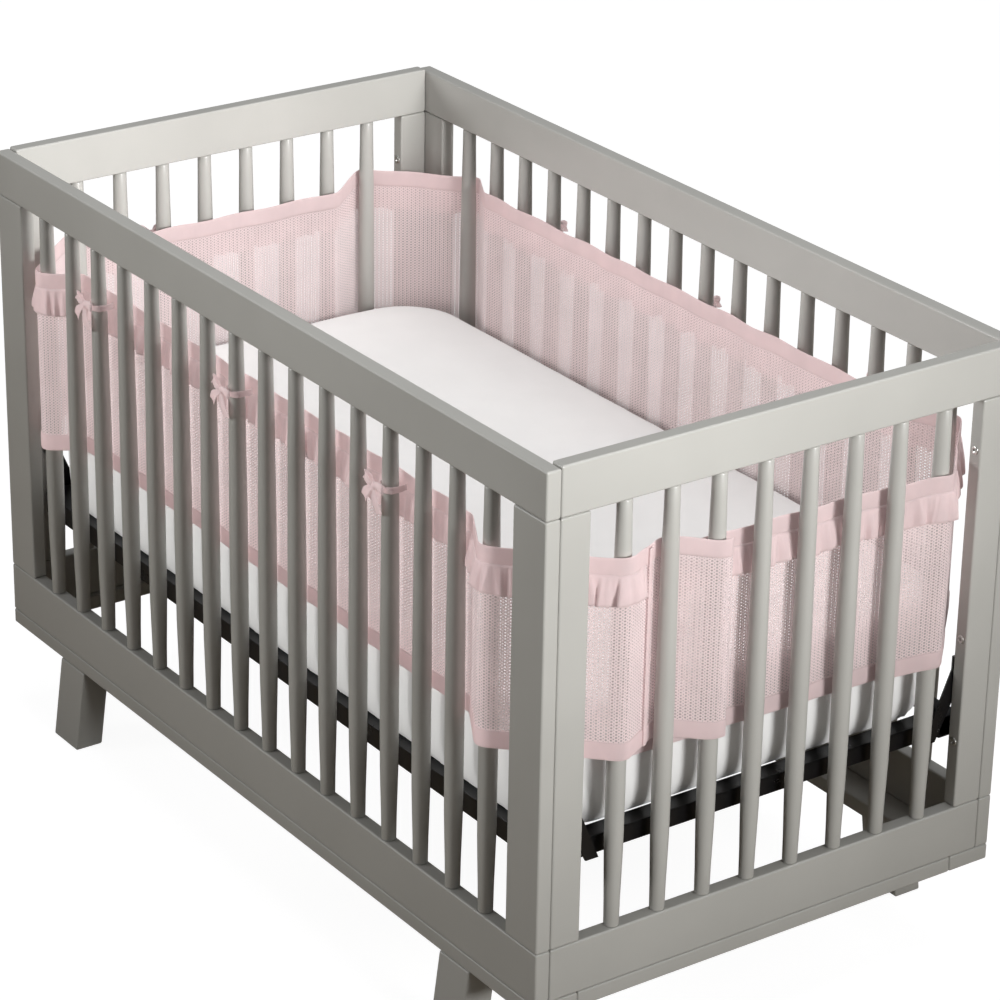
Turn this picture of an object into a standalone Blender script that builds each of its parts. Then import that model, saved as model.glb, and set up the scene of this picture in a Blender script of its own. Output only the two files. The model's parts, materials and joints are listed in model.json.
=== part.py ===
# Slatted cot with its woven-through mesh liner, mattress and base frame.
# Metres, +Z up, origin at the middle of the footprint on the floor.
# X runs along the long sides, "near" is +X and "front" is -Y.
import bpy
import bmesh
import math
from mathutils import Vector

# ---------------------------------------------------------------- cot frame
LENGTH = 1.365            # over the long rails
WIDTH = 0.756             # over the two long sides
HEIGHT = 0.883            # floor to the top of the short rails
BOARD_T = 0.022           # thickness of every rail, post board and stile
TOP_RAIL_H = 0.068
RAIL_STEP = 0.003         # long rails finish this much below the short ones
BOTTOM_RAIL_TOP = 0.222
BOTTOM_RAIL_H = 0.075
POST_W = 0.068            # post board along X
STILE_W = 0.045           # post stile along Y
BASE_H = 0.023
BASE_LONG_W = 0.067
BASE_SHORT_W = 0.030
LEG_X = 0.068
LEG_Y = 0.044
LEG_INSET = 0.145
LEG_SPLAY = 0.016
GAP = 0.0003              # sewn or screwed faces that touch
WELD = 0.00002

LONG_COUNT = 16
LONG_PITCH = 0.0742
SHORT_COUNT = 8
SHORT_PITCH = 0.0725
SPINDLE_SIDES = 10
SPINDLE_ANGLES = [2 * math.pi * (k + 0.5) / SPINDLE_SIDES for k in range(SPINDLE_SIDES)]
SPINDLE_SUNK = 0.006      # tenon let up into the top rail
SPINDLE_R = ((0.0, 0.0100), (0.22, 0.0124), (0.50, 0.0128), (0.80, 0.0116), (1.0, 0.0100))
SPINDLE_MAX = 0.0128

# ---------------------------------------------------- mattress and its frame
MAT_HALF_X = 0.638
MAT_HALF_Y = 0.338
MAT_CORNER = 0.100
MAT_BOTTOM = 0.345
MAT_TOP = 0.524
MAT_EDGE = 0.020
SUPPORT_H = 0.030
SUPPORT_BAR = 0.028
SUPPORT_HALF_X = 0.650
SUPPORT_HALF_Y = 0.340
SUPPORT_BAYS = 4
HANGER_W = 0.020
HANGER_T = 0.003
HANGER_LEAN = 0.072       # foot of a hanger in from the frame's side
HANGER_LAP = 0.020        # head of a hanger past the stile's edge
HANGER_TOP = 0.440
HANGER_RISE = 0.004       # foot of a hanger above the frame's underside

# ---------------------------------------------------------------------- liner
MESH_T = 0.003            # knitted spacer mesh
BIND_T = 0.0010           # one layer of the folded binding
BIND_H = 0.025            # depth of the top and bottom bindings
LINER_H = 0.276
RUFFLE_H = 0.040
RUFFLE_T = 0.0012
RUFFLE_PITCH = 0.0125     # distance between pleat ridge and valley
RUFFLE_OUT = 0.0125       # furthest a pleat stands off the mesh centre
RUFFLE_CLEAR = 0.002
RUFFLE_STOP = 0.012       # ruffle ends this far before the closure strip's middle
RUFFLE_WANDER = 0.35      # pleats stray by up to half this part of a pitch
RUFFLE_APART = 0.42 * RUFFLE_PITCH
RUFFLE_LEAST = 0.62       # the shallowest pleat, as part of RUFFLE_OUT
END_PAST = 0.012          # plain end laps this far past its last spindle
R_INSIDE = 0.0195         # liner centre to spindle axis, woven inside
R_OUTSIDE = 0.0175        # the same, woven outside
R_UNDER = 0.0271          # the lower layer, where the plain end laps it
MAX_X = 0.6975            # cloth stays inside these half extents
MAX_Y = 0.3935
STRIP_W = 0.009           # upright closure strip
STRIP_T = 0.0022
STRIP_SCALLOP = 0.0012
STRIP_SHORT = 0.002
STRIP_ROWS = 24
STRIP_AT = 0.62           # part of the way from the first spindle to the second
Z_FRONT = 0.746           # top edge of the liner along each stretch
Z_BACK = 0.737
Z_END = 0.714
Z_FAR = 0.718
Z_CORNER = 0.731
Z_PLAIN_END = 0.729
TOP_EASE = 0.30           # longest run over which the top edge changes height
BILLOW = 0.0022

# ----------------------------------------------------------------------- ties
TIE_W = 0.008
TIE_T = 0.0012
TIE_DROP = 0.017          # tie centre below the liner's top edge
TIE_CLEAR = 0.0010
KNOT_R = 0.0060
KNOT_ANGLE = math.radians(52)
TIE_SPOTS = (("front", 3), ("front", 8), ("front", 13),
             ("back", 14), ("back", 9), ("back", 4), ("far", 3))

FINISHES = {
    # slot: (linear colour, roughness)
    "painted_wood": ((0.36, 0.34, 0.30), 0.45),
    "mattress_sheet": ((0.86, 0.86, 0.85), 0.90),
    "black_steel": ((0.02, 0.02, 0.02), 0.35),
    "liner_mesh": ((0.72, 0.55, 0.55), 0.85),
    "liner_cloth": ((0.75, 0.57, 0.57), 0.85),
}
COT, MATTRESS, STEEL, MESH, CLOTH = FINISHES


def wipe():
    for ob in list(bpy.data.objects):
        bpy.data.objects.remove(ob, do_unlink=True)
    for me in list(bpy.data.meshes):
        bpy.data.meshes.remove(me)


def finish_of(slot):
    mat = bpy.data.materials.get(slot)
    if mat is None:
        colour, rough = FINISHES[slot]
        mat = bpy.data.materials.new(slot)
        mat.use_nodes = True
        shader = mat.node_tree.nodes["Principled BSDF"]
        shader.inputs["Base Color"].default_value = (*colour, 1.0)
        shader.inputs["Roughness"].default_value = rough
        shader.inputs["Metallic"].default_value = 0.0
    return mat


def put(name, slot, bm, place=(0.0, 0.0, 0.0)):
    """Turn a finished bmesh into a named object of the given finish."""
    bmesh.ops.recalc_face_normals(bm, faces=bm.faces)
    me = bpy.data.meshes.new(name)
    bm.to_mesh(me)
    bm.free()
    me.materials.append(finish_of(slot))
    ob = bpy.data.objects.new(name, me)
    ob.location = place
    bpy.context.scene.collection.objects.link(ob)
    return ob


def box(name, slot, lo, hi):
    """Squared board between two opposite corners, with its origin at its middle."""
    size = [abs(b - a) for a, b in zip(lo, hi)]
    mid = [(a + b) / 2 for a, b in zip(lo, hi)]
    bm = bmesh.new()
    bmesh.ops.create_cube(bm, size=1.0)
    bmesh.ops.scale(bm, vec=size, verts=bm.verts)
    return put(name, slot, bm, mid)


def loft(rings):
    """Skin a row of equal rings of points into one solid, ends filled.
    Both faces of a thin sheet are split along the same diagonals, so that
    its thickness holds where it twists."""
    bm = bmesh.new()
    rows = [[bm.verts.new(p) for p in ring] for ring in rings]
    n = len(rows[0])
    for lower, upper in zip(rows, rows[1:]):
        for q in range(n):
            r = (q + 1) % n
            if q < n // 2:
                bm.faces.new((lower[q], lower[r], upper[r]))
                bm.faces.new((lower[q], upper[r], upper[q]))
            else:
                bm.faces.new((lower[q], lower[r], upper[q]))
                bm.faces.new((lower[r], upper[r], upper[q]))
    bm.faces.new(rows[0][::-1])
    bm.faces.new(rows[-1])
    return bm


def join(body, others, name, how="UNION"):
    """Unite the first solid with the others, or cut them out of it, and drop them."""
    for other in others:
        mod = body.modifiers.new("join", "BOOLEAN")
        mod.operation = how
        mod.solver = "EXACT"
        mod.object = other
    bpy.context.view_layer.update()
    deps = bpy.context.evaluated_depsgraph_get()
    joined = bpy.data.meshes.new_from_object(body.evaluated_get(deps))
    bm = bmesh.new()
    bm.from_mesh(joined)
    bmesh.ops.remove_doubles(bm, verts=bm.verts, dist=WELD)
    bmesh.ops.dissolve_degenerate(bm, edges=bm.edges, dist=WELD / 2)
    bmesh.ops.triangulate(bm, faces=bm.faces)
    bm.to_mesh(joined)
    bm.free()
    body.modifiers.clear()
    body.data = joined
    body.name = name
    joined.name = name
    for other in others:
        bpy.data.objects.remove(other, do_unlink=True)
    return body


# ------------------------------------------------------------------ cot frame
def long_xy(i, side):
    return ((i - (LONG_COUNT + 1) / 2) * LONG_PITCH, side * (WIDTH / 2 - BOARD_T / 2))


def short_xy(j, side):
    return (side * (LENGTH / 2 - BOARD_T / 2), (j - (SHORT_COUNT + 1) / 2) * SHORT_PITCH)


def turned_row(name, centres):
    """All the spindles of one side: each is a turned profile, its head sunk in the top rail."""
    z0 = BOTTOM_RAIL_TOP + GAP
    z1 = HEIGHT - TOP_RAIL_H
    bm = bmesh.new()
    for x, y in centres:
        profile = [(r, z0 + (z1 - z0) * f) for f, r in SPINDLE_R]
        profile.append((SPINDLE_R[-1][1], z1 + SPINDLE_SUNK))
        rings = [[bm.verts.new((x + r * math.cos(a), y + r * math.sin(a), z)) for a in SPINDLE_ANGLES]
                 for r, z in profile]
        for lower, upper in zip(rings, rings[1:]):
            for q in range(SPINDLE_SIDES):
                t = (q + 1) % SPINDLE_SIDES
                bm.faces.new((lower[q], lower[t], upper[t], upper[q]))
        bm.faces.new(rings[0][::-1])
        bm.faces.new(rings[-1])
    return put(name, COT, bm)


def comb(name, lo, hi, centres):
    """Top rail with its row of tapered spindles, as one joined solid."""
    rail = box(name, COT, lo, hi)
    return join(rail, [turned_row(name + "_spindles", centres)], name)


def leg(name, sx, sy):
    """Square leg under the base rail, splayed outwards across the cot."""
    top = BOTTOM_RAIL_TOP - BOTTOM_RAIL_H - BASE_H - GAP
    bm = bmesh.new()
    bmesh.ops.create_cube(bm, size=1.0)
    bmesh.ops.scale(bm, vec=(LEG_X, LEG_Y, top), verts=bm.verts)
    for v in bm.verts:
        if v.co.z < 0:
            v.co.y += sy * LEG_SPLAY
    x = sx * (LENGTH / 2 - LEG_INSET - LEG_X / 2)
    return put(name, COT, bm, (x, sy * (WIDTH / 2 - LEG_Y / 2), top / 2))


def build_cot():
    hl, hw, t = LENGTH / 2, WIDTH / 2, BOARD_T
    zr = HEIGHT - TOP_RAIL_H
    zb0 = BOTTOM_RAIL_TOP - BOTTOM_RAIL_H
    for label, sy in (("front", -1), ("back", 1)):
        comb("top_rail_" + label, (-hl, sy * (hw - t), zr), (hl, sy * hw, HEIGHT - RAIL_STEP),
             [long_xy(i, sy) for i in range(1, LONG_COUNT + 1)])
        box("bottom_rail_" + label, COT, (-hl, sy * (hw - t), zb0), (hl, sy * hw, BOTTOM_RAIL_TOP))
        box("base_rail_" + label, COT, (-hl, sy * (hw - BASE_LONG_W), zb0 - BASE_H), (hl, sy * hw, zb0 - GAP))
    for label, sx in (("far", -1), ("near", 1)):
        inner = hw - t - GAP
        comb("top_rail_" + label, (sx * (hl - t), -inner, zr), (sx * hl, inner, HEIGHT),
             [short_xy(j, sx) for j in range(1, SHORT_COUNT + 1)])
        box("bottom_rail_" + label, COT, (sx * (hl - t), -inner, zb0), (sx * hl, inner, BOTTOM_RAIL_TOP))
        inner = hw - BASE_LONG_W - GAP
        box("base_rail_" + label, COT, (sx * (hl - BASE_SHORT_W), -inner, zb0 - BASE_H),
            (sx * hl, inner, zb0 - GAP))
        for side, sy in (("front", -1), ("back", 1)):
            tag = side + "_" + label
            box("post_" + tag, COT, (sx * (hl - POST_W), sy * (hw - t), BOTTOM_RAIL_TOP + GAP),
                (sx * hl, sy * hw, zr - GAP))
            box("stile_" + tag, COT, (sx * (hl - t), sy * (hw - t - STILE_W), BOTTOM_RAIL_TOP + GAP),
                (sx * hl, sy * (hw - t - GAP), zr - GAP))
            leg("leg_" + tag, sx, sy)


# ------------------------------------------------------- mattress and support
def rounded_ring(hx, hy, r, z, steps=5):
    out = []
    for qx, qy, a0 in ((1, 1, 0.0), (-1, 1, 0.5), (-1, -1, 1.0), (1, -1, 1.5)):
        for k in range(steps + 1):
            a = math.pi * (a0 + 0.5 * k / steps)
            out.append((qx * (hx - r) + r * math.cos(a), qy * (hy - r) + r * math.sin(a), z))
    return out


def build_mattress():
    """Filled block with rounded corners and soft upper and lower edges."""
    e, e3 = MAT_EDGE, 0.3 * MAT_EDGE
    rows = ((e, MAT_BOTTOM), (e3, MAT_BOTTOM + e3), (0.0, MAT_BOTTOM + e),
            (0.0, MAT_TOP - e), (e3, MAT_TOP - e3), (e, MAT_TOP))
    rings = [rounded_ring(MAT_HALF_X - inset, MAT_HALF_Y - inset, MAT_CORNER - inset, z) for inset, z in rows]
    put("mattress", MATTRESS, loft(rings))


def build_support():
    """Steel angle frame with cross bars, and slanted hangers up to the stiles."""
    hx, hy, w = SUPPORT_HALF_X, SUPPORT_HALF_Y, SUPPORT_BAR
    z1 = MAT_BOTTOM - GAP
    z0 = z1 - SUPPORT_H
    frame = box("mattress_support", STEEL, (-hx, -hy, z0), (hx, hy, z1))
    clear = (2 * hx - (SUPPORT_BAYS + 1) * w) / SUPPORT_BAYS
    cuts = []
    for k in range(SUPPORT_BAYS):
        x = -hx + w + k * (clear + w)
        cuts.append(box("bay_%d" % k, STEEL, (x, -hy + w, z0 - w), (x + clear, hy - w, z1 + w)))
    join(frame, cuts, "mattress_support", "DIFFERENCE")
    wall = LENGTH / 2 - BOARD_T - GAP
    foot = hy - HANGER_LEAN
    head = WIDTH / 2 - BOARD_T - STILE_W + HANGER_LAP
    for label, sx in (("far", -1), ("near", 1)):
        for side, sy in (("front", -1), ("back", 1)):
            outline = [(foot, z0 + HANGER_RISE), (foot + HANGER_W, z0 + HANGER_RISE),
                       (head, HANGER_TOP - HANGER_W * 1.6), (head, HANGER_TOP),
                       (head - HANGER_W, HANGER_TOP), (head - HANGER_W, HANGER_TOP - HANGER_W)]
            rings = [[(sx * x, sy * y, z) for y, z in outline] for x in (wall, wall - HANGER_T)]
            put("hanger_" + side + "_" + label, STEEL, loft(rings))


# ---------------------------------------------------------------- liner route
def route_stops():
    """(centre, signed radius, top height): plus when the spindle lies on the
    path's left, which is woven outside, and minus when woven inside."""
    first = short_xy(2, 1)
    start = ((first[0] - R_UNDER, first[1] - SHORT_PITCH / 2), 0.0, Z_END)
    last = short_xy(3, 1)
    end = ((last[0] + R_OUTSIDE, last[1] + END_PAST), 0.0, Z_PLAIN_END)
    n, m = LONG_COUNT, SHORT_COUNT
    i_, o_ = -R_INSIDE, R_OUTSIDE
    return [start,
            (first, -R_UNDER, Z_END), (short_xy(m - 1, 1), i_, Z_END),
            (short_xy(m, 1), o_, Z_CORNER - 0.004), (long_xy(n, 1), o_, Z_CORNER),
            (long_xy(n - 1, 1), i_, Z_BACK), (long_xy(2, 1), i_, Z_BACK),
            (long_xy(1, 1), o_, Z_CORNER), (short_xy(m, -1), o_, Z_CORNER),
            (short_xy(m - 1, -1), i_, Z_FAR), (short_xy(2, -1), i_, Z_FAR),
            (short_xy(1, -1), o_, Z_CORNER), (long_xy(1, -1), o_, Z_CORNER + 0.004),
            (long_xy(2, -1), i_, Z_FRONT), (long_xy(n - 1, -1), i_, Z_FRONT),
            (long_xy(n, -1), o_, Z_FRONT - 0.004), (short_xy(1, 1), o_, Z_FRONT - 0.005),
            (short_xy(2, 1), i_, Z_FRONT - 0.010), (last, o_, Z_PLAIN_END), end]


def left(theta):
    return (-math.sin(theta), math.cos(theta))


def taut_route(stops):
    """Straight tangents joined by arcs round the spindles.
    Returns arc pieces [(x, y, heading)] and the distance at each stop."""
    heads = []
    for (c0, r0, _), (c1, r1, _) in zip(stops, stops[1:]):
        dx, dy = c1[0] - c0[0], c1[1] - c0[1]
        heads.append(math.atan2(dy, dx) - math.asin((r1 - r0) / math.hypot(dx, dy)))
    for k in range(1, len(heads)):
        while heads[k] - heads[k - 1] > math.pi:
            heads[k] -= 2 * math.pi
        while heads[k] - heads[k - 1] < -math.pi:
            heads[k] += 2 * math.pi
    pts, where = [], []
    for k, (c, r, _) in enumerate(stops):
        a0 = heads[max(k - 1, 0)]
        a1 = heads[min(k, len(heads) - 1)]
        steps = max(1, int(math.ceil(abs(a1 - a0) / math.radians(30)))) if r else 0
        first = len(pts)
        for q in range(steps + 1):
            a = a0 + (a1 - a0) * (q / steps if steps else 0)
            nx, ny = left(a)
            p = (c[0] - r * nx, c[1] - r * ny, a)
            if pts and math.hypot(p[0] - pts[-1][0], p[1] - pts[-1][1]) < 1e-6:
                continue
            pts.append(p)
        where.append((first + len(pts) - 1) / 2)
    return pts, where


def measure(pts):
    s = [0.0]
    for a, b in zip(pts, pts[1:]):
        s.append(s[-1] + math.hypot(b[0] - a[0], b[1] - a[1]))
    return s


def at(pts, dist, s):
    """Point and heading at distance s along the route."""
    s = min(max(s, 0.0), dist[-1])
    k = 0
    while k < len(dist) - 2 and dist[k + 1] < s:
        k += 1
    f = (s - dist[k]) / (dist[k + 1] - dist[k])
    a, b = pts[k], pts[k + 1]
    return (a[0] + f * (b[0] - a[0]), a[1] + f * (b[1] - a[1]), a[2] + f * (b[2] - a[2]))


def smooth(f):
    f = min(max(f, 0.0), 1.0)
    return f * f * (3 - 2 * f)


class Route:
    def __init__(self):
        self.stops = route_stops()
        pts, where = taut_route(self.stops)
        dist = measure(pts)
        stop_s = []
        for w in where:
            lo, hi = int(math.floor(w)), int(math.ceil(w))
            stop_s.append((dist[lo] + dist[hi]) / 2)
        # extra stations on the long straights, eased inwards between spindles
        fine = [pts[0]]
        for k in range(1, len(pts)):
            a, b = pts[k - 1], pts[k]
            run = math.hypot(b[0] - a[0], b[1] - a[1])
            if run > 2.2 * LONG_PITCH:
                n = int(round(run / LONG_PITCH))
                for q in range(1, n):
                    f = q / n
                    nx, ny = left(a[2])
                    w = BILLOW * (0.5 - 0.5 * math.cos(2.4 * q + k)) * min(1.0, 6 * f, 6 * (1 - f))
                    fine.append((a[0] + f * (b[0] - a[0]) + w * nx, a[1] + f * (b[1] - a[1]) + w * ny, a[2]))
            fine.append(b)
        self.pts = fine
        self.dist = measure(fine)
        scale = self.dist[-1] / dist[-1]
        self.stop_s = [s * scale for s in stop_s]
        self.length = self.dist[-1]

    def top(self, s):
        for k in range(len(self.stop_s) - 1):
            a, b = self.stop_s[k], self.stop_s[k + 1]
            if s <= b or k == len(self.stop_s) - 2:
                za, zb = self.stops[k][2], self.stops[k + 1][2]
                reach = min(b - a, TOP_EASE)
                return za + (zb - za) * smooth((s - (a + b - reach) / 2) / reach)

    def place(self, s, off):
        x, y, a = at(self.pts, self.dist, s)
        nx, ny = left(a)
        return (x - off * nx, y - off * ny)


def sweep(name, slot, stations, profile):
    """Carry a section along the route.  stations are (x, y, heading, top z),
    and profile(k) gives the section's (offset outwards, height) pairs there."""
    rings = []
    for k, (x, y, a, zt) in enumerate(stations):
        nx, ny = left(a)
        rings.append([(x - off * nx, y - off * ny, zt + z) for off, z in profile(k)])
    return put(name, slot, loft(rings))


def hash01(k):
    v = math.sin(k * 12.9898 + 4.137) * 43758.5453
    return v - math.floor(v)


def obstacles():
    out = []
    for i in range(1, LONG_COUNT + 1):
        out += [long_xy(i, 1), long_xy(i, -1)]
    for j in range(1, SHORT_COUNT + 1):
        out += [short_xy(j, 1), short_xy(j, -1)]
    return out


def clear_of(p, axes):
    r = SPINDLE_MAX + RUFFLE_CLEAR
    for cx, cy in axes:
        if (p[0] - cx) ** 2 + (p[1] - cy) ** 2 < r * r:
            return False
    x, y = abs(p[0]), abs(p[1])
    if x > MAX_X or y > MAX_Y:
        return False
    c = RUFFLE_CLEAR
    if x > LENGTH / 2 - POST_W - c and WIDTH / 2 - BOARD_T - c < y < WIDTH / 2 + c:
        return False
    if y > WIDTH / 2 - BOARD_T - STILE_W - c and LENGTH / 2 - BOARD_T - c < x < LENGTH / 2 + c:
        return False
    return True


def build_liner():
    route = Route()
    half = MESH_T / 2
    outer = half + GAP + BIND_T
    stations = [(x, y, a, route.top(s)) for (x, y, a), s in zip(route.pts, route.dist)]
    edge = BIND_T + GAP       # the mesh stops inside its bindings
    sweep("liner_mesh_panel", MESH, stations,
          lambda k: [(-half, edge - LINER_H), (half, edge - LINER_H), (half, -edge), (-half, -edge)])
    slot = half + GAP

    def band(z0, z1, zs):
        # folded binding: two layers joined at z1, open at z0
        return lambda k: [(-outer, z0), (-outer, z1), (outer, z1), (outer, z0),
                          (slot, z0), (slot, zs), (-slot, zs), (-slot, z0)]
    sweep("liner_top_binding", CLOTH, stations, band(-BIND_H, 0.0, -BIND_T))
    sweep("liner_bottom_binding", CLOTH, stations, band(-LINER_H + BIND_H, -LINER_H, -LINER_H + BIND_T))

    # gathered ruffle, from clear of the under-lap to the closure strip
    axes = obstacles()
    s1, s2 = route.stop_s[-4:-2]
    strip_s = s1 + STRIP_AT * (s2 - s1)
    lap_free = last_lap_s(route)
    ruffle_end = strip_s - RUFFLE_STOP
    count = int(ruffle_end / RUFFLE_PITCH)
    step = ruffle_end / count
    fixed = [d for d in route.dist if 0.0 < d < ruffle_end]
    free = [step * k + (hash01(k) - 0.5) * RUFFLE_WANDER * step for k in range(1, count)]
    free = [s for s in free if min(abs(s - d) for d in fixed) > RUFFLE_APART]
    grid = sorted([0.0, ruffle_end] + fixed + free)
    base_off = outer + GAP
    offs = []
    for k, s in enumerate(grid):
        want = base_off + RUFFLE_T
        if k % 2 == 1 and s > lap_free:
            want = base_off + RUFFLE_T + (RUFFLE_OUT - base_off - RUFFLE_T) * (
                RUFFLE_LEAST + (1 - RUFFLE_LEAST) * hash01(k + 77))
        while want > base_off + RUFFLE_T and not clear_of(route.place(s, want), axes):
            want -= 0.0005
        offs.append(max(want, base_off + RUFFLE_T))
    for _ in range(4):
        for k in range(len(grid) - 1):
            for f in (0.2, 0.4, 0.6, 0.8):
                pa, pb = route.place(grid[k], offs[k]), route.place(grid[k + 1], offs[k + 1])
                p = (pa[0] + f * (pb[0] - pa[0]), pa[1] + f * (pb[1] - pa[1]))
                if not clear_of(p, axes):
                    offs[k] = max(base_off + RUFFLE_T, offs[k] - 0.001)
                    offs[k + 1] = max(base_off + RUFFLE_T, offs[k + 1] - 0.001)
    ruffle_at = []
    for s in grid:
        x, y, a = at(route.pts, route.dist, s)
        ruffle_at.append((x, y, a, route.top(s)))
    z0 = -BIND_H - 0.001

    def pleat(k):
        rise = offs[k] - base_off - RUFFLE_T
        lift = 0.35 * rise
        return [(base_off + 0.12 * rise, z0), (base_off + RUFFLE_T + 0.12 * rise, z0),
                (base_off + RUFFLE_T + rise, z0 - RUFFLE_H + lift), (base_off + rise, z0 - RUFFLE_H + lift)]
    sweep("liner_ruffle", CLOTH, ruffle_at, pleat)

    # upright closure strip with a scalloped edge, where the ruffle stops
    near, far = outer + GAP, outer + GAP + STRIP_T
    rings = []
    for k in range(STRIP_ROWS + 1):
        z = route.top(strip_s) - STRIP_SHORT - (LINER_H - 2 * STRIP_SHORT) * k / STRIP_ROWS
        wide = STRIP_W / 2 + STRIP_SCALLOP * (k % 2)
        rings.append([(*route.place(strip_s + ds, off), z)
                      for ds, off in ((-wide, near), (wide, near), (wide, far), (-wide, far))])
    put("liner_closure_strip", CLOTH, loft(rings))
    return route


def last_lap_s(route):
    """Distance at which the lower layer is clear of the plain end."""
    y_free = short_xy(3, 1)[1] + END_PAST + 0.010
    s = 0.0
    while at(route.pts, route.dist, s)[1] < y_free:
        s += 0.002
    return s


# ----------------------------------------------------------------------- ties
def ribbon(path, wide, up=(0, 0, 1)):
    """Flat ribbon along 3-D points, its width turned towards up."""
    rings = []
    n = len(path)
    up = Vector(up)
    for k, p in enumerate(path):
        along = (path[min(k + 1, n - 1)] - path[max(k - 1, 0)]).normalized()
        across = (up - up.dot(along) * along).normalized() * wide(k / (n - 1)) / 2
        thick = along.cross(across).normalized() * TIE_T / 2
        rings.append([p - across - thick, p + across - thick, p + across + thick, p - across + thick])
    return loft(rings)


def knot(centre):
    bm = bmesh.new()
    bmesh.ops.create_uvsphere(bm, u_segments=7, v_segments=4, radius=KNOT_R)
    bmesh.ops.translate(bm, vec=centre, verts=bm.verts)
    return bm


def tie(name, centre, out, z):
    """Ribbon round one spindle, knotted in a small bow with two free ends.
    out is the unit direction away from the cot; the bow sits to one side,
    towards -X on the long sides and -Y on the short ones."""
    side = (-abs(out[1]), -abs(out[0]))

    def pt(a, b, h):
        return Vector((centre[0] + a * side[0] + b * out[0], centre[1] + a * side[1] + b * out[1], z + h))
    r = SPINDLE_MAX + TIE_CLEAR + TIE_T / 2
    back = -(R_INSIDE - MESH_T / 2 - GAP - BIND_T - TIE_CLEAR)
    arc = [pt(-r * math.cos(math.radians(q)), r * math.sin(math.radians(q)), 0) for q in range(25, 160, 25)]
    wrap = [pt(-r, back, 0), pt(-r, back / 4, 0)] + arc + [pt(r, back / 8, 0), pt(r, back, 0)]
    reach = SPINDLE_MAX + 0.7 * TIE_CLEAR + KNOT_R
    kx, ky = reach * math.cos(KNOT_ANGLE), reach * math.sin(KNOT_ANGLE)

    def loop(da, db, dh, spread):
        """Out to a tip and back, standing open by the spread."""
        tip_a, tip_b, mid_a, mid_b = kx + da, ky + db, kx + da / 2, ky + db / 2
        return [pt(kx, ky, 0), pt(mid_a, mid_b + spread, dh / 2),
                pt(tip_a - 0.04 * da, tip_b + 0.7 * spread, dh), pt(tip_a, tip_b, dh),
                pt(mid_a + 0.001, mid_b - 0.75 * spread, dh / 2), pt(kx + 0.001, ky - 0.001, 0)]

    def petal(f):
        return TIE_W * (0.62 + 0.38 * math.sin(math.pi * f))

    def tail(f):
        return TIE_W * (0.6 + 0.4 * f)

    def fall(*steps):
        return [pt(kx + a, ky + b, h) for a, b, h in steps]
    up_side = (0.6 * side[0], 0.6 * side[1], 0.8)
    shapes = [knot(pt(kx, ky, 0)),
              ribbon(loop(0.019, -0.001, 0.006, 0.0032), petal),
              ribbon(loop(-0.022, 0.0030, 0.005, 0.0028), petal),
              ribbon(fall((0, 0, 0), (0.010, 0.001, -0.009), (0.019, 0.001, -0.019), (0.027, 0, -0.027)),
                     tail, up_side),
              ribbon(fall((0, 0, 0), (-0.003, 0.0025, -0.011), (-0.009, 0.003, -0.022),
                          (-0.012, 0.002, -0.033)), tail, (side[0], side[1], 0.2))]
    body = put(name, CLOTH, ribbon(wrap, lambda f: 0.75 * TIE_W))
    others = [put(name + "_piece_%d" % k, CLOTH, bm) for k, bm in enumerate(shapes)]
    return join(body, others, name)


def build_ties(route):
    for side, i in TIE_SPOTS:
        if side == "far":
            c, out = short_xy(i, -1), (-1.0, 0.0)
        else:
            sy = 1 if side == "back" else -1
            c, out = long_xy(i, sy), (0.0, float(sy))
        best, s = None, 0.0
        while s < route.length:
            x, y, _ = at(route.pts, route.dist, s)
            d = (x - c[0]) ** 2 + (y - c[1]) ** 2
            if best is None or d < best[0]:
                best = (d, s)
            s += 0.004
        tie("tie_%s_%d" % (side, i), c, out, route.top(best[1]) - TIE_DROP)


wipe()
build_cot()
build_mattress()
build_support()
ROUTE = build_liner()
build_ties(ROUTE)
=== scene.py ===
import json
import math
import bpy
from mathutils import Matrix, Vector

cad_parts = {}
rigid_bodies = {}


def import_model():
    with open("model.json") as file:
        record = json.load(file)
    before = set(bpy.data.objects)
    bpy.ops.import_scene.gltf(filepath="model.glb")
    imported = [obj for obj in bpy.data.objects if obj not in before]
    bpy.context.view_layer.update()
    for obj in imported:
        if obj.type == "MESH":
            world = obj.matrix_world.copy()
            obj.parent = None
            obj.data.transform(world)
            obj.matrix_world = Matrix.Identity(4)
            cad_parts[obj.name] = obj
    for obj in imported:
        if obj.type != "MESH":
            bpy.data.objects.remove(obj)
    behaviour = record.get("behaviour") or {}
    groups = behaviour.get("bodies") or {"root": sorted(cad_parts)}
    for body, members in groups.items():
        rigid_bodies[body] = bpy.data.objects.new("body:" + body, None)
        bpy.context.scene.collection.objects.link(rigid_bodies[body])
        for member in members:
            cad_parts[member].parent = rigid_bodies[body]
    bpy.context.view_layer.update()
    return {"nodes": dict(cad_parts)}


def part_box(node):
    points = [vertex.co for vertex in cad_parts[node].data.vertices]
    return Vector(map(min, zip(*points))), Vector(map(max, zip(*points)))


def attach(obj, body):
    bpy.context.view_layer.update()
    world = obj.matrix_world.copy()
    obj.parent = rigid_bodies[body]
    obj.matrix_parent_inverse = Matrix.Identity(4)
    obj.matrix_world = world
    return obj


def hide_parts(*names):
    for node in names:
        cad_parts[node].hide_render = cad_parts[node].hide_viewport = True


bl_info = {
    "name": "Crib with a Woven Mesh Liner",
    "version": (1, 0, 0),
    "blender": (4, 5, 0),
    "location": "3D View > Sidebar > Crib Liner",
    "description": "Builds a slatted crib, its mattress and the mesh liner woven through it",
    "category": "Object",
}

from bisect import bisect_left, bisect_right

import bmesh
import bpy
from bpy.props import FloatProperty, FloatVectorProperty, IntProperty, PointerProperty
from bpy.types import Operator, Panel, PropertyGroup
from mathutils import Matrix, Vector, kdtree, noise

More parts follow.
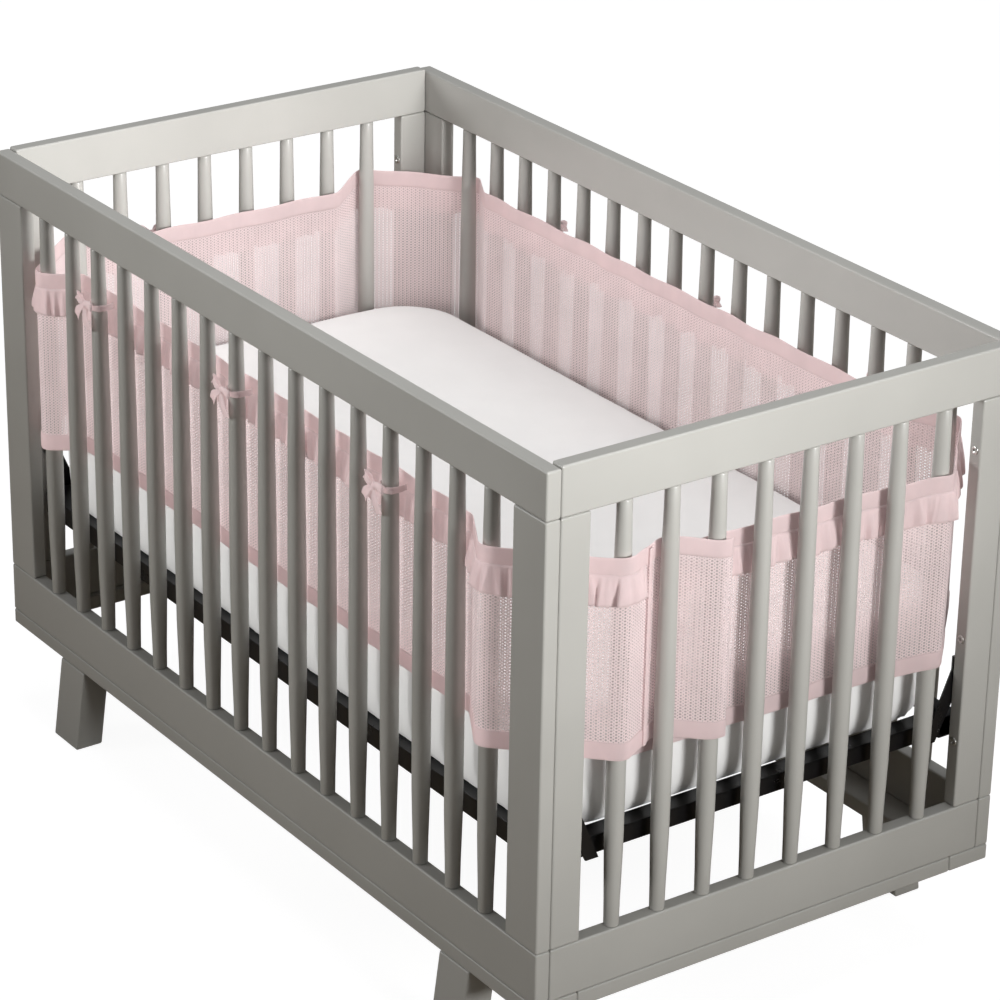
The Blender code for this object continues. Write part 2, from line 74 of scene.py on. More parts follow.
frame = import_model()


def corners(name):
    """The low and the high corner of a CAD node's box."""
    return tuple(Vector(c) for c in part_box(name))


# Crib sizes that the frame gives, in metres.
RAIL_LOW, RAIL_HIGH = corners("top_rail_front")
POST_LOW, POST_HIGH = corners("post_front_near")
STILE_LOW, STILE_HIGH = corners("stile_back_near")
LENGTH = RAIL_HIGH.x - RAIL_LOW.x
WIDTH = -2 * POST_LOW.y
BOARD_T = POST_HIGH.y - POST_LOW.y
POST_W = POST_HIGH.x - POST_LOW.x
STILE_W = STILE_HIGH.y - STILE_LOW.y
GAP = 0.0003                       # boards and seams that touch
RAIL_UNDER = POST_HIGH.z + GAP     # underside of the top rails
RAIL_TOP = POST_LOW.z - GAP        # top of the bottom rails

# The four walls: which way each stands from the middle. The ends cross the length.
SIGN = {"front": -1, "back": 1, "far": -1, "near": 1}
SIDES, ENDS = ("front", "back"), ("far", "near")

# Spindles: how many, how far apart, and the turned outline from foot to head.
LONG_COUNT, LONG_PITCH = 16, 0.0742
SHORT_COUNT, SHORT_PITCH = 8, 0.0725
SPINDLE_OUTLINE = ((0.0, 0.0100), (0.22, 0.0124), (0.50, 0.0128), (0.80, 0.0116), (1.0, 0.0100))
SPINDLE_MAX = 0.0128

# Liner: how it is cut.
LINER_H = 0.276
MESH_HALF = 0.0015
BIND_T = 0.0010
BIND_H = 0.025
RUFFLE_H = 0.040
CLOTH_T = 0.0004
COLUMN_W = 0.005                   # columns of the hung mesh and bindings
# How far it stands from the spindle axes: inside them, outside them, and under its own lap.
R_INSIDE, R_OUTSIDE, R_UNDER = 0.0195, 0.0175, 0.0271
RUFFLE_CLEAR = 0.002               # between the ruffle and the wood
RUFFLE_STOP = 0.012                # between the ruffle's end and the closure strip
END_PAST = 0.012                   # how far the plain end goes past its last spindle
MAX_X, MAX_Y = 0.6975, 0.3935      # half the size of the whole part
# Height of its top edge along each wall, at the corners and at the plain end.
Z_FRONT, Z_BACK, Z_END, Z_FAR, Z_CORNER, Z_PLAIN_END = 0.746, 0.737, 0.714, 0.718, 0.731, 0.729
STRIP_AT = 0.62                    # the closure strip's place between its two spindles
TIE_DROP = 0.017                   # of the ties below the top edge
TIE_SPOTS = (("front", 3), ("front", 8), ("front", 13), ("back", 14), ("back", 9), ("back", 4),
             ("far", 3))
TURN = 2 * math.pi


def clamp(value, low=0.0, high=1.0):
    return min(max(value, low), high)


def ease(f):
    f = clamp(f)
    return f * f * (3 - 2 * f)


def blend(a, b, f):
    return a + (b - a) * f


def ripple(x, period, phase=0.0):
    """A wave from -1 to 1 that repeats every period."""
    return math.sin(x * TURN / period + phase)


def hash01(k):
    """A number from 0 to 1 that looks random and is always the same for the same k."""
    v = math.sin(k * 12.9898 + 4.137) * 43758.5453
    return v - math.floor(v)


def inwards(outer, sign, thick):
    """Low and high of a board that lies inside an outer face, on the side that sign gives."""
    return sorted((sign * outer, sign * (outer - thick)))


def linear(hex_code):
    """An sRGB hex colour as the linear colour that shaders take."""
    out = []
    for k in (0, 2, 4):
        c = int(hex_code[k:k + 2], 16) / 255
        out.append(c / 12.92 if c <= 0.04045 else ((c + 0.055) / 1.055) ** 2.4)
    return tuple(out)


# ------------------------------------------------------------------ settings
def colour(name, hex_code, description):
    return FloatVectorProperty(name=name, description=description, subtype="COLOR", size=3,
                               default=linear(hex_code), min=0, max=1)


def length(name, default, low, high, description):
    return FloatProperty(name=name, description=description, default=default, min=low, max=high,
                         unit="LENGTH")


class CribLook(PropertyGroup):
    paint: colour("Paint", "afaea9", "Colour of the lacquer on the crib")
    edge: length("Board edge", 0.0028, 0.0005, 0.006, "Radius sanded on the edges of every board")
    spindle_sides: IntProperty(
        name="Spindle sides", description="Faces round each turned spindle", default=24,
        min=12, max=48)
    bolt_head: length("Bolt head", 0.0135, 0.008, 0.02, "Diameter of the joint bolts' heads")


class BeddingLook(PropertyGroup):
    sheet: colour("Sheet", "dededd", "Colour of the fitted sheet")
    crown: length("Crown", 0.006, 0, 0.01, "How far the middle of the mattress rises")
    steel: colour("Mattress frame", "0e0d0e", "Colour of the powder coat")


class LinerLook(PropertyGroup):
    mesh: colour("Mesh", "e7d9d9", "Colour of the knitted mesh")
    cloth: colour("Cloth", "e2d1d1", "Colour of the bindings, ruffle and ties")
    hole_across: length("Hole columns", 0.0032, 0.002, 0.02, "Distance between columns of holes")
    hole_down: length("Hole rows", 0.0043, 0.002, 0.02, "Distance between holes in a column")
    wave: length("Wave", 0.0030, 0, 0.006, "How far the hung cloth strays from its line")
    tie_width: length("Tie width", 0.0105, 0.010, 0.02, "Width of the tie ribbons")


class StageLook(PropertyGroup):
    key: FloatProperty(
        name="Key light", description="Power of the soft light at the near end", default=250,
        min=0, max=2000, unit="POWER")
    room: FloatProperty(
        name="Room light", description="Strength of the even light all round", default=0.23,
        min=0, max=2)


# ----------------------------------------------------------------- materials
def node(tree, kind, inputs=None, **settings):
    """Adds a node, applies its settings, and fills its sockets with values or links."""
    made = tree.nodes.new(kind)
    for key, value in settings.items():
        setattr(made, key, value)
    for key, value in (inputs or {}).items():
        if isinstance(value, bpy.types.NodeSocket):
            tree.links.new(value, made.inputs[key])
        else:
            made.inputs[key].default_value = value
    return made


class Surface:
    """A material while it is made. The sizes of what repeats on it are in millimetres; its
    coordinates and the depths of its bumps are in metres."""

    def __init__(self, name, **shader_values):
        found = bpy.data.materials.get(name)
        if found is not None:
            bpy.data.materials.remove(found)
        self.mat = bpy.data.materials.new(name)
        self.mat.use_nodes = True
        self.tree = self.mat.node_tree
        self.shader = self.tree.nodes["Principled BSDF"]
        for key, value in shader_values.items():
            self.shader.inputs[key.replace("_", " ")].default_value = value

    def add(self, kind, inputs=None, **settings):
        return node(self.tree, kind, inputs, **settings).outputs

    def drive(self, **sources):
        """Links sources to the shader's sockets."""
        for key, source in sources.items():
            self.tree.links.new(source, self.shader.inputs[key.replace("_", " ")])

    def show(self, shader):
        self.tree.links.new(shader, self.tree.nodes["Material Output"].inputs[0])

    def by_object(self):
        return self.add("ShaderNodeTexCoord")["Object"]

    def by_cut(self):
        """The flat cut, and the distances along it and down it."""
        cut = self.add("ShaderNodeUVMap", uv_map="cut")[0]
        return cut, self.add("ShaderNodeSeparateXYZ", {0: cut})[:2]

    def clouds(self, where, size, detail):
        sockets = {"Vector": where, "Scale": 1000.0 / size, "Detail": detail}
        return self.add("ShaderNodeTexNoise", sockets)[0]

    def maths(self, how, a, b=0.0):
        return self.add("ShaderNodeMath", {0: a, 1: b}, operation=how)[0]

    def wave(self, value, size):
        """A wave from -1 to 1."""
        return self.maths("SINE", self.maths("MULTIPLY", value, TURN * 1000 / size))

    def weave(self, parts, size):
        """Two crossing sets of threads."""
        return self.maths("MULTIPLY", *(self.wave(part, size) for part in parts))

    def spread(self, value, to_low, to_high, from_low=0.3, from_high=0.7, how="LINEAR"):
        """Stretches a value; noise keeps to the narrow range that is set here."""
        return self.add("ShaderNodeMapRange", {
            "Value": value, "From Min": from_low, "From Max": from_high,
            "To Min": to_low, "To Max": to_high}, interpolation_type=how)[0]

    def mix_colours(self, factor, a, b):
        mixed = self.add("ShaderNodeMix", {0: factor, 6: a, 7: b}, data_type="RGBA")[2]
        self.drive(Base_Color=mixed)
        return mixed

    def shades(self, tint, low, high, cloud):
        """Base colour that drifts between two strengths of one colour."""
        a, b = ((*[min(1, c * strength) for c in tint], 1) for strength in (low, high))
        return self.mix_colours(self.spread(cloud, 0, 1), a, b)

    def bump(self, height, strength, distance, normal=None, invert=False):
        sockets = {"Height": height, "Strength": strength, "Distance": distance}
        if normal is not None:
            sockets["Normal"] = normal
        return self.add("ShaderNodeBump", sockets, invert=invert)[0]

    def mix_shaders(self, share, a, b):
        return self.add("ShaderNodeMixShader", {0: share, 1: a, 2: b})[0]

    def let_light_through(self, tint, openness=None, share=0.42):
        """Thin cloth glows with the light behind it; where it is open it shows what is there."""
        behind = self.add("ShaderNodeBsdfTranslucent", {"Color": tint})[0]
        cloth = self.mix_shaders(share, self.shader.outputs[0], behind)
        if openness is not None:
            cloth = self.mix_shaders(openness, cloth, self.add("ShaderNodeBsdfTransparent")[0])
        self.show(cloth)


def lacquered_beech(tint):
    """Beech, sanded and sprayed with satin lacquer: an even coat with a soft sheen,
    a very slight orange peel, and broad patches that dried a little duller."""
    s = Surface("satin_lacquered_beech", IOR=1.5, Coat_Weight=0.25, Coat_Roughness=0.2)
    where = s.by_object()
    cloud = s.clouds(where, 140, 3.0)
    s.shades(tint, 0.965, 1.02, cloud)
    # Orange peel is about 1.5 mm across; drawn at 3 mm so that it can show.
    peel = s.bump(s.clouds(where, 3, 1.0), 0.10, 0.0004)
    s.drive(Roughness=s.spread(cloud, 0.30, 0.38), Normal=peel)
    return s.mat


def zinc_plated_steel():
    """Steel, zinc plated and tumbled: bright, slightly cloudy metal on the bolt heads."""
    s = Surface("zinc_plated_steel", Metallic=1.0)
    cloud = s.clouds(s.by_object(), 2, 2.0)
    s.shades(linear("d8d8d4"), 0.85, 1.05, cloud)
    s.drive(Roughness=s.spread(cloud, 0.22, 0.40))
    return s.mat


def powder_coated_steel(tint):
    """Mild steel angle, powder coated black: semi-gloss with a fine pebbled skin."""
    s = Surface("black_powder_coat", IOR=1.5)
    where = s.by_object()
    pebble, dust = s.clouds(where, 2.2, 2.0), s.clouds(where, 45, 4.0)
    s.shades(tint, 0.9, 1.3, dust)
    s.drive(Roughness=s.spread(dust, 0.27, 0.33), Normal=s.bump(pebble, 0.12, 0.0003))
    return s.mat


def cotton_percale(tint):
    """Cotton percale, plain woven: matt white, with faint slubs and soft ironed-out creases."""
    s = Surface("cotton_percale_sheet", Roughness=0.9, Sheen_Weight=0.25, Sheen_Roughness=0.5)
    where = s.by_object()
    crease = s.clouds(where, 60, 3.0)
    s.shades(tint, 0.975, 1.0, crease)
    # Threads are 0.3 mm apart; drawn at 1.5 mm so that the weave can show.
    weave = s.weave(s.add("ShaderNodeSeparateXYZ", {0: where})[:2], 1.5)
    s.drive(Normal=s.bump(crease, 0.25, 0.004, s.bump(weave, 0.12, 0.0002)))
    return s.mat


def microfibre(name, tint, stitched):
    """Polyester microfibre, plain woven and piece dyed: soft, with a peach-skin sheen.
    Where it is a binding, a row of lock stitches runs 2 mm from its raw edges."""
    s = Surface(name, Roughness=0.78, Sheen_Weight=0.7, Sheen_Roughness=0.45,
                Sheen_Tint=(1.0, 0.93, 0.93, 1.0))
    cut, (along, down) = s.by_cut()
    cloud = s.clouds(cut, 35, 4.0)
    glow = s.shades(tint, 0.95, 1.03, cloud)
    # Threads are 0.25 mm apart; drawn at 1.3 mm so that the weave can show.
    skin = s.bump(s.weave((along, down), 1.3), 0.15, 0.0002)
    crush = s.bump(cloud, 0.30, 0.002, skin)
    if stitched:
        rows = []
        for inset in (0.002, 2 * BIND_H - 0.002):
            away = s.maths("ABSOLUTE", s.maths("SUBTRACT", down, inset))
            rows.append(s.spread(away, 1.0, 0.0, 0.0003, 0.0009))
        both = s.maths("MAXIMUM", *rows)
        # Stitches are 3 mm long with a 0.6 mm bite between them.
        dash = s.spread(s.wave(along, 3.0), 0.0, 1.0, -0.9, -0.6)
        s.mix_colours(s.maths("MULTIPLY", both, dash), glow, (*[c * 0.72 for c in tint], 1))
        crush = s.bump(both, 0.6, 0.0006, crush, invert=True)
    s.drive(Normal=crush)
    s.let_light_through(glow)
    return s.mat


def knitted_spacer_mesh(tint, across, down):
    """Polyester spacer fabric, warp knitted: soft matt threads round columns of oval holes, open
    enough to see through. Every other column is half a hole lower, and its holes are small."""
    s = Surface("knitted_spacer_mesh", Roughness=0.85, Sheen_Weight=0.7, Sheen_Roughness=0.5)
    cut, parts = s.by_cut()
    column, row = s.maths("DIVIDE", parts[0], across), s.maths("DIVIDE", parts[1], down)
    odd = s.maths("MULTIPLY", s.maths("MODULO", s.maths("FLOOR", column), 2.0), 0.5)
    # Each wide hole is an oval, 86% of the column's width and 54% of the row's height.
    ovals = []
    for place, half in ((column, 0.43), (s.maths("ADD", row, odd), 0.27)):
        away = s.maths("SUBTRACT", s.maths("FRACT", place), 0.5)
        ovals.append(s.maths("POWER", s.maths("DIVIDE", away, half), 2.0))
    small = s.maths("ADD", s.maths("MULTIPLY", odd, 1.2), 1.0)
    reach = s.maths("MULTIPLY", s.maths("SQRT", s.maths("ADD", *ovals)), small)
    thread = s.spread(reach, 0.0, 1.0, 0.80, 1.12, how="SMOOTHSTEP")
    glow = s.shades(tint, 0.96, 1.03, s.clouds(cut, 50, 3.0))
    # Stitch loops are 0.9 mm apart; drawn at 1.6 mm so that the knit can show.
    knit = s.bump(s.weave(parts, 1.6), 0.2, 0.0002)
    s.drive(Normal=s.bump(thread, 0.35, 0.0006, knit))
    s.let_light_through(glow, s.spread(thread, 0.80, 0.0, 0.0, 1.0))
    return s.mat


def pale_floor():
    """Seamless white paper lit from below: it shows near white with soft shadows on it, and
    sends a low, warm light back up."""
    s = Surface("white_backdrop_paper", Roughness=0.95, Specular_IOR_Level=0.2)
    cloud = s.clouds(s.by_object(), 1000 / 1.5, 2.0)
    s.shades(linear("8a7c69"), 0.99, 1.0, cloud)
    lit = s.add("ShaderNodeEmission", {"Color": (1, 1, 1, 1), "Strength": 0.93})[0]
    paper = s.add("ShaderNodeBsdfDiffuse", {"Color": (0.24, 0.24, 0.24, 1)})[0]
    white = s.add("ShaderNodeAddShader", {0: lit, 1: paper})[0]
    s.show(s.mix_shaders(s.add("ShaderNodeLightPath")["Is Camera Ray"], s.shader.outputs[0], white))
    return s.mat


# -------------------------------------------------------------- making pieces
def mesh_object(name, bm, material):
    me = bpy.data.meshes.new(name)
    bm.to_mesh(me)
    bm.free()
    me.materials.append(material)
    ob = bpy.data.objects.new(name, me)
    bpy.context.scene.collection.objects.link(ob)
    return ob


def finish_piece(name, bm, material, smooth=True):
    """Turns a bmesh into a piece at the origin that rides on the body."""
    ob = mesh_object(name, bm, material)
    for face in ob.data.polygons:
        face.use_smooth = smooth
    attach(ob, "root")
    return ob


def even_normals(ob):
    """Large faces keep their flat shading, and the rounded edges blend into them."""
    mod = ob.modifiers.new("even_normals", "WEIGHTED_NORMAL")
    mod.weight = 80
    mod.keep_sharp = False


def round_off(bm, edges, radius, segments):
    bmesh.ops.bevel(bm, geom=edges, offset=radius, offset_type="OFFSET", segments=segments,
                    profile=0.5, affect="EDGES", material=-1)


def add_block(bm, low, high):
    made = bmesh.ops.create_cube(bm, size=1.0)["verts"]
    bmesh.ops.scale(bm, vec=high - low, verts=made)
    bmesh.ops.translate(bm, vec=(low + high) / 2, verts=made)
    return made


def edges_of(verts):
    return list({e for v in verts for e in v.link_edges})


def add_board(bm, low, high, edge, lean=Vector((0, 0, 0))):
    """A squared board with sanded edges; lean moves its lower end sideways."""
    low, high = Vector(low), Vector(high)
    made = add_block(bm, low, high)
    foot = [v for v in made if v.co.z < (low.z + high.z) / 2]
    bmesh.ops.translate(bm, vec=lean, verts=foot)
    round_off(bm, edges_of(made), edge, 3)


def board_for(node_name, material, edge, lean=Vector((0, 0, 0)), between=None):
    """One board in the place of a CAD node, or between given corners."""
    bm = bmesh.new()
    low, high = between or corners(node_name)
    add_board(bm, low, high, edge, lean)
    ob = finish_piece(node_name + "_board", bm, material)
    even_normals(ob)
    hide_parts(node_name)
    return ob


def spindle(wall, k):
    """Axis in plan of the wall's spindle k, counted from the far end or from the front."""
    if wall in ENDS:
        across = SIGN[wall] * (LENGTH / 2 - BOARD_T / 2)
        return Vector((across, (k - (SHORT_COUNT + 1) / 2) * SHORT_PITCH))
    across = SIGN[wall] * (WIDTH / 2 - BOARD_T / 2)
    return Vector(((k - (LONG_COUNT + 1) / 2) * LONG_PITCH, across))


def nearest_spindle(p):
    i = clamp(round(p.x / LONG_PITCH + (LONG_COUNT + 1) / 2), 1, LONG_COUNT)
    j = clamp(round(p.y / SHORT_PITCH + (SHORT_COUNT + 1) / 2), 1, SHORT_COUNT)
    near_by = (spindle("back" if p.y > 0 else "front", i), spindle("near" if p.x > 0 else "far", j))
    return min(near_by, key=lambda c: (p - c).length)


def spindle_radius(f):
    """Radius of the turned spindle at a fraction of its height, eased between the set sizes."""
    for (f0, r0), (f1, r1) in zip(SPINDLE_OUTLINE, SPINDLE_OUTLINE[1:]):
        if f <= f1:
            return r0 + (r1 - r0) * ease((f - f0) / (f1 - f0))
    return SPINDLE_OUTLINE[-1][1]


def add_spindle(bm, centre, sides):
    """Turned from an upright outline spun round its axis; the foot and head are softly rounded."""
    tall = RAIL_UNDER - RAIL_TOP
    stations = (0, 0.06, 0.12, 0.18, 0.25, 0.35, 0.5, 0.62, 0.74, 0.82, 0.9, 0.95, 1)
    rounding = ((0.0, 0.0), (0.0078, 0.0), (0.0095, 0.0008))
    inset = 0.0022
    outline = list(rounding)
    outline += [(spindle_radius(f), blend(inset, tall - inset, f)) for f in stations]
    outline += [(r, tall - z) for r, z in reversed(rounding)]
    verts = [bm.verts.new((centre.x + r, centre.y, RAIL_TOP + z)) for r, z in outline]
    edges = [bm.edges.new(pair) for pair in zip(verts, verts[1:])]
    bmesh.ops.spin(bm, geom=verts + edges, cent=(centre.x, centre.y, 0), axis=(0, 0, 1),
                   angle=TURN, steps=sides, use_merge=True)


# ------------------------------------------------------------- the liner's line
def left_of(heading):
    return Vector((-math.sin(heading), math.cos(heading)))


class LinerLine:
    """The liner's middle line in plan: taut straight runs joined by arcs round the spindles,
    from under the lap at the near end, counter-clockwise, to the plain end."""

    arc_step = math.radians(7)
    calm_reach = 0.09       # how near a bend the cloth lies still
    slope_reach = 0.30      # the longest stretch over which the top edge changes height

    def __init__(self, wave):
        self.wave_size = wave
        self.stops = self.make_stops()
        self.trace()

    @staticmethod
    def make_stops():
        """(centre, signed radius, height of the top edge) at each bend."""
        n, m = LONG_COUNT, SHORT_COUNT
        inside, outside = -R_INSIDE, R_OUTSIDE
        first, last = spindle("near", 2), spindle("near", 3)
        start = Vector((first.x - R_UNDER, first.y - SHORT_PITCH / 2))
        end = Vector((last.x + R_OUTSIDE, last.y + END_PAST))
        bends = (
            ("near", 2, -R_UNDER, Z_END), ("near", m - 1, inside, Z_END),
            ("near", m, outside, Z_CORNER - 0.004), ("back", n, outside, Z_CORNER),
            ("back", n - 1, inside, Z_BACK), ("back", 2, inside, Z_BACK),
            ("back", 1, outside, Z_CORNER), ("far", m, outside, Z_CORNER),
            ("far", m - 1, inside, Z_FAR), ("far", 2, inside, Z_FAR),
            ("far", 1, outside, Z_CORNER), ("front", 1, outside, Z_CORNER + 0.004),
            ("front", 2, inside, Z_FRONT), ("front", n - 1, inside, Z_FRONT),
            ("front", n, outside, Z_FRONT - 0.004), ("near", 1, outside, Z_FRONT - 0.005),
            ("near", 2, inside, Z_FRONT - 0.010), ("near", 3, outside, Z_PLAIN_END))
        return [(start, 0.0, Z_END), *((spindle(wall, k), r, z) for wall, k, r, z in bends),
                (end, 0.0, Z_PLAIN_END)]

    def trace(self):
        heads = []
        for (c0, r0, _), (c1, r1, _) in zip(self.stops, self.stops[1:]):
            d = c1 - c0
            head = math.atan2(d.y, d.x) - math.asin((r1 - r0) / d.length)
            if heads:
                head += TURN * round((heads[-1] - head) / TURN)
            heads.append(head)
        points, middles = [], []
        for k, (c, r, _) in enumerate(self.stops):
            a0, a1 = heads[max(k - 1, 0)], heads[min(k, len(heads) - 1)]
            steps = max(1, math.ceil(abs(a1 - a0) / self.arc_step)) if r else 0
            first = len(points)
            for q in range(steps + 1):
                a = blend(a0, a1, q / steps if steps else 0)
                p = c - r * left_of(a)
                if not points or (p - points[-1][0]).length > 1e-6:
                    points.append((p, a))
            middles.append((first + len(points) - 1) / 2)
        self.points = points
        self.dist = [0.0]
        for (p, _), (q, _) in zip(points, points[1:]):
            self.dist.append(self.dist[-1] + (q - p).length)
        self.length = self.dist[-1]
        self.stop_s = [(self.dist[math.floor(m)] + self.dist[math.ceil(m)]) / 2 for m in middles]

    def where(self, s):
        """Point and heading at a distance along the line."""
        s = clamp(s, 0.0, self.length)
        k = min(bisect_right(self.dist, s), len(self.dist) - 1)
        f = (s - self.dist[k - 1]) / (self.dist[k] - self.dist[k - 1])
        (p, a), (q, b) = self.points[k - 1], self.points[k]
        return p + (q - p) * f, blend(a, b, f)

    def strip_middle(self):
        """Where the closure strip is sewn."""
        before, after = self.stop_s[-4], self.stop_s[-3]
        return before + STRIP_AT * (after - before)

    def top(self, s):
        """Height of the liner's top edge."""
        k = clamp(bisect_left(self.stop_s, s) - 1, 0, len(self.stop_s) - 2)
        a, b = self.stop_s[k], self.stop_s[k + 1]
        reach = min(b - a, self.slope_reach)
        f = ease((s - (a + b - reach) / 2) / reach)
        return blend(self.stops[k][2], self.stops[k + 1][2], f)

    def sway(self, s, drop):
        """Soft upright waves, inwards, least near a bend and along the top edge."""
        calm = ease(min(abs(s - stop) for stop in self.stop_s) / self.calm_reach)
        roll = 0.45 * ripple(s, 0.148, 0.7) + 0.35 * ripple(s, 0.083, 2.1)
        roll += 0.20 * ripple(s, 0.231, 4.0)
        depth = blend(0.35, 1.0, math.sin(math.pi * min(drop / LINER_H, 1.0)))
        return self.wave_size * calm * depth * (0.35 + roll)

    def at(self, s, out, drop):
        """A point on the hung liner: along it, out from its middle, and down from its top edge."""
        p, a = self.where(s)
        p = p - (out - self.sway(s, drop)) * left_of(a)
        droop = 0.0012 * ripple(s, 0.112, 1.3)
        return Vector((p.x, p.y, self.top(s) + droop * (1 - drop / LINER_H) - drop))


def thicken(bm, faces, thick):
    """Gives a sheet its thickness; a point that shoots out where the sheet folds sharply is
    drawn back."""
    tree = kdtree.KDTree(len(bm.verts))
    for k, v in enumerate(bm.verts):
        tree.insert(v.co, k)
    tree.balance()
    before = set(bm.verts)
    bmesh.ops.solidify(bm, geom=faces, thickness=thick)
    for v in bm.verts:
        if v not in before:
            root, _, far = tree.find(v.co)
            if far > 1.6 * thick:
                v.co = root + (v.co - root) * (thick / far)


def lay_cut(faces, cut, at):
    """Writes the flat cut into the cloth's own map: at(co) is a point of it in metres."""
    for face in faces:
        for loop in face.loops:
            loop[cut].uv = at(loop.vert.co)


def hang_cloth(name, material, columns, rows, place, span, thick=CLOTH_T):
    """A woven or knitted sheet made from a flat grid: place(a, b) hangs each point of it, from
    a along and b down the cut, and its own map keeps the flat cut in metres."""
    bm = bmesh.new()
    cut = bm.loops.layers.uv.new("cut")
    bmesh.ops.create_grid(bm, x_segments=columns, y_segments=rows, size=0.5)
    lay_cut(bm.faces, cut, lambda co: ((co.x + 0.5) * span[0], (co.y + 0.5) * span[1]))
    for v in bm.verts:
        v.co = place(v.co.x + 0.5, v.co.y + 0.5)
    bmesh.ops.recalc_face_normals(bm, faces=bm.faces)
    thicken(bm, bm.faces[:], thick)
    bmesh.ops.recalc_face_normals(bm, faces=bm.faces)
    return finish_piece(name, bm, material)


def clear_of_crib(p):
    """True where cloth can be: outside the spindles, posts and stiles, inside the part's size."""
    if (p - nearest_spindle(p)).length < SPINDLE_MAX + RUFFLE_CLEAR:
        return False
    x, y, c = abs(p.x), abs(p.y), RUFFLE_CLEAR
    if x > MAX_X or y > MAX_Y:
        return False
    inner_x, inner_y = LENGTH / 2 - BOARD_T, WIDTH / 2 - BOARD_T
    if x > LENGTH / 2 - POST_W - c and inner_y - c < y < WIDTH / 2 + c:
        return False
    return not (y > inner_y - STILE_W - c and inner_x - c < x < LENGTH / 2 + c)


# ------------------------------------------------------------------ operators
class CRIB_OT_boards(Operator):
    """Build the rails, posts, stiles, base rails and legs with sanded edges"""
    bl_idname = "crib.boards"
    bl_label = "Boards"

    leg_w = 0.044

    def execute(self, context):
        look = context.scene.crib_look
        finish = (lacquered_beech(look.paint), look.edge)
        for wall in SIDES:
            self.rails(wall, 1, WIDTH / 2, finish)
        for end in ENDS:
            self.rails(end, 0, LENGTH / 2, finish)
            for side in SIDES:
                board_for("post_" + side + "_" + end, *finish)
                board_for("stile_" + side + "_" + end, *finish)
                self.leg(side, end, finish)
        return {"FINISHED"}

    @staticmethod
    def rails(wall, axis, outer, finish):
        low, high = corners("top_rail_" + wall)
        low[axis], high[axis] = inwards(outer, SIGN[wall], BOARD_T)
        low.z = RAIL_UNDER
        board_for("top_rail_" + wall, *finish, between=(low, high))
        board_for("bottom_rail_" + wall, *finish)
        board_for("base_rail_" + wall, *finish)

    def leg(self, side, end, finish):
        """The leg leans outwards: its top is square under the base rail, its foot further out."""
        name = "leg_" + side + "_" + end
        low, high = corners(name)
        splay = SIGN[side] * (high.y - low.y - self.leg_w)
        outer = low if side == "front" else high
        outer.y -= splay
        board_for(name, *finish, lean=Vector((0, splay, 0)), between=(low, high))


class CRIB_OT_spindles(Operator):
    """Turn the four rows of tapered spindles"""
    bl_idname = "crib.spindles"
    bl_label = "Spindles"

    def execute(self, context):
        look = context.scene.crib_look
        paint = bpy.data.materials["satin_lacquered_beech"]
        for wall in ("front", "back", "near", "far"):
            bm = bmesh.new()
            for k in range(1, 1 + (SHORT_COUNT if wall in ENDS else LONG_COUNT)):
                add_spindle(bm, spindle(wall, k), look.spindle_sides)
            bmesh.ops.remove_doubles(bm, verts=bm.verts, dist=0.00001)
            bmesh.ops.recalc_face_normals(bm, faces=bm.faces)
            ob = finish_piece("spindles_" + wall, bm, paint)
            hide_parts("top_rail_" + wall)
        return {"FINISHED"}


class CRIB_OT_bolts(Operator):
    """Set the zinc joint bolts in the edges of the stiles"""
    bl_idname = "crib.bolts"
    bl_label = "Joint bolts"

    heights = (0.742, 0.470, 0.318)
    head_h = 0.0022

    def execute(self, context):
        r = context.scene.crib_look.bolt_head / 2
        metal = zinc_plated_steel()
        for end in ENDS:
            for side in SIDES:
                low, high = corners("stile_" + side + "_" + end)
                face = high.y if side == "front" else low.y
                bm = bmesh.new()
                for z in self.heights:
                    self.add_bolt(bm, Vector(((low.x + high.x) / 2, face, z)), -SIGN[side], r)
                ob = finish_piece("joint_bolts_" + side + "_" + end, bm, metal)
                even_normals(ob)
        return {"FINISHED"}

    def add_bolt(self, bm, place, out, r):
        """A domed round head with a socket sunk in its face."""
        made = bmesh.ops.create_cone(bm, cap_ends=True, segments=20, radius1=r, radius2=r * 0.88,
                                     depth=self.head_h)["verts"]
        face = next(f for f in {f for v in made for f in v.link_faces}
                    if len(f.verts) > 4 and f.calc_center_median().z > 0)
        # The rim, the flat, and the wall of the socket: how wide each is and how far it steps.
        for wide, step in ((0.22, 0.0004), (0.22, 0.0), (0.03, -0.0018)):
            bmesh.ops.inset_region(bm, faces=[face], thickness=r * wide, depth=step)
        seen, grow = set(made), list(made)
        while grow:
            for e in grow.pop().link_edges:
                fresh = [v for v in e.verts if v not in seen]
                seen.update(fresh)
                grow += fresh
        turn = Matrix.Translation(place) @ Matrix.Rotation(math.radians(-90 * out), 4, "X")
        bmesh.ops.transform(bm, matrix=turn, verts=list(seen))


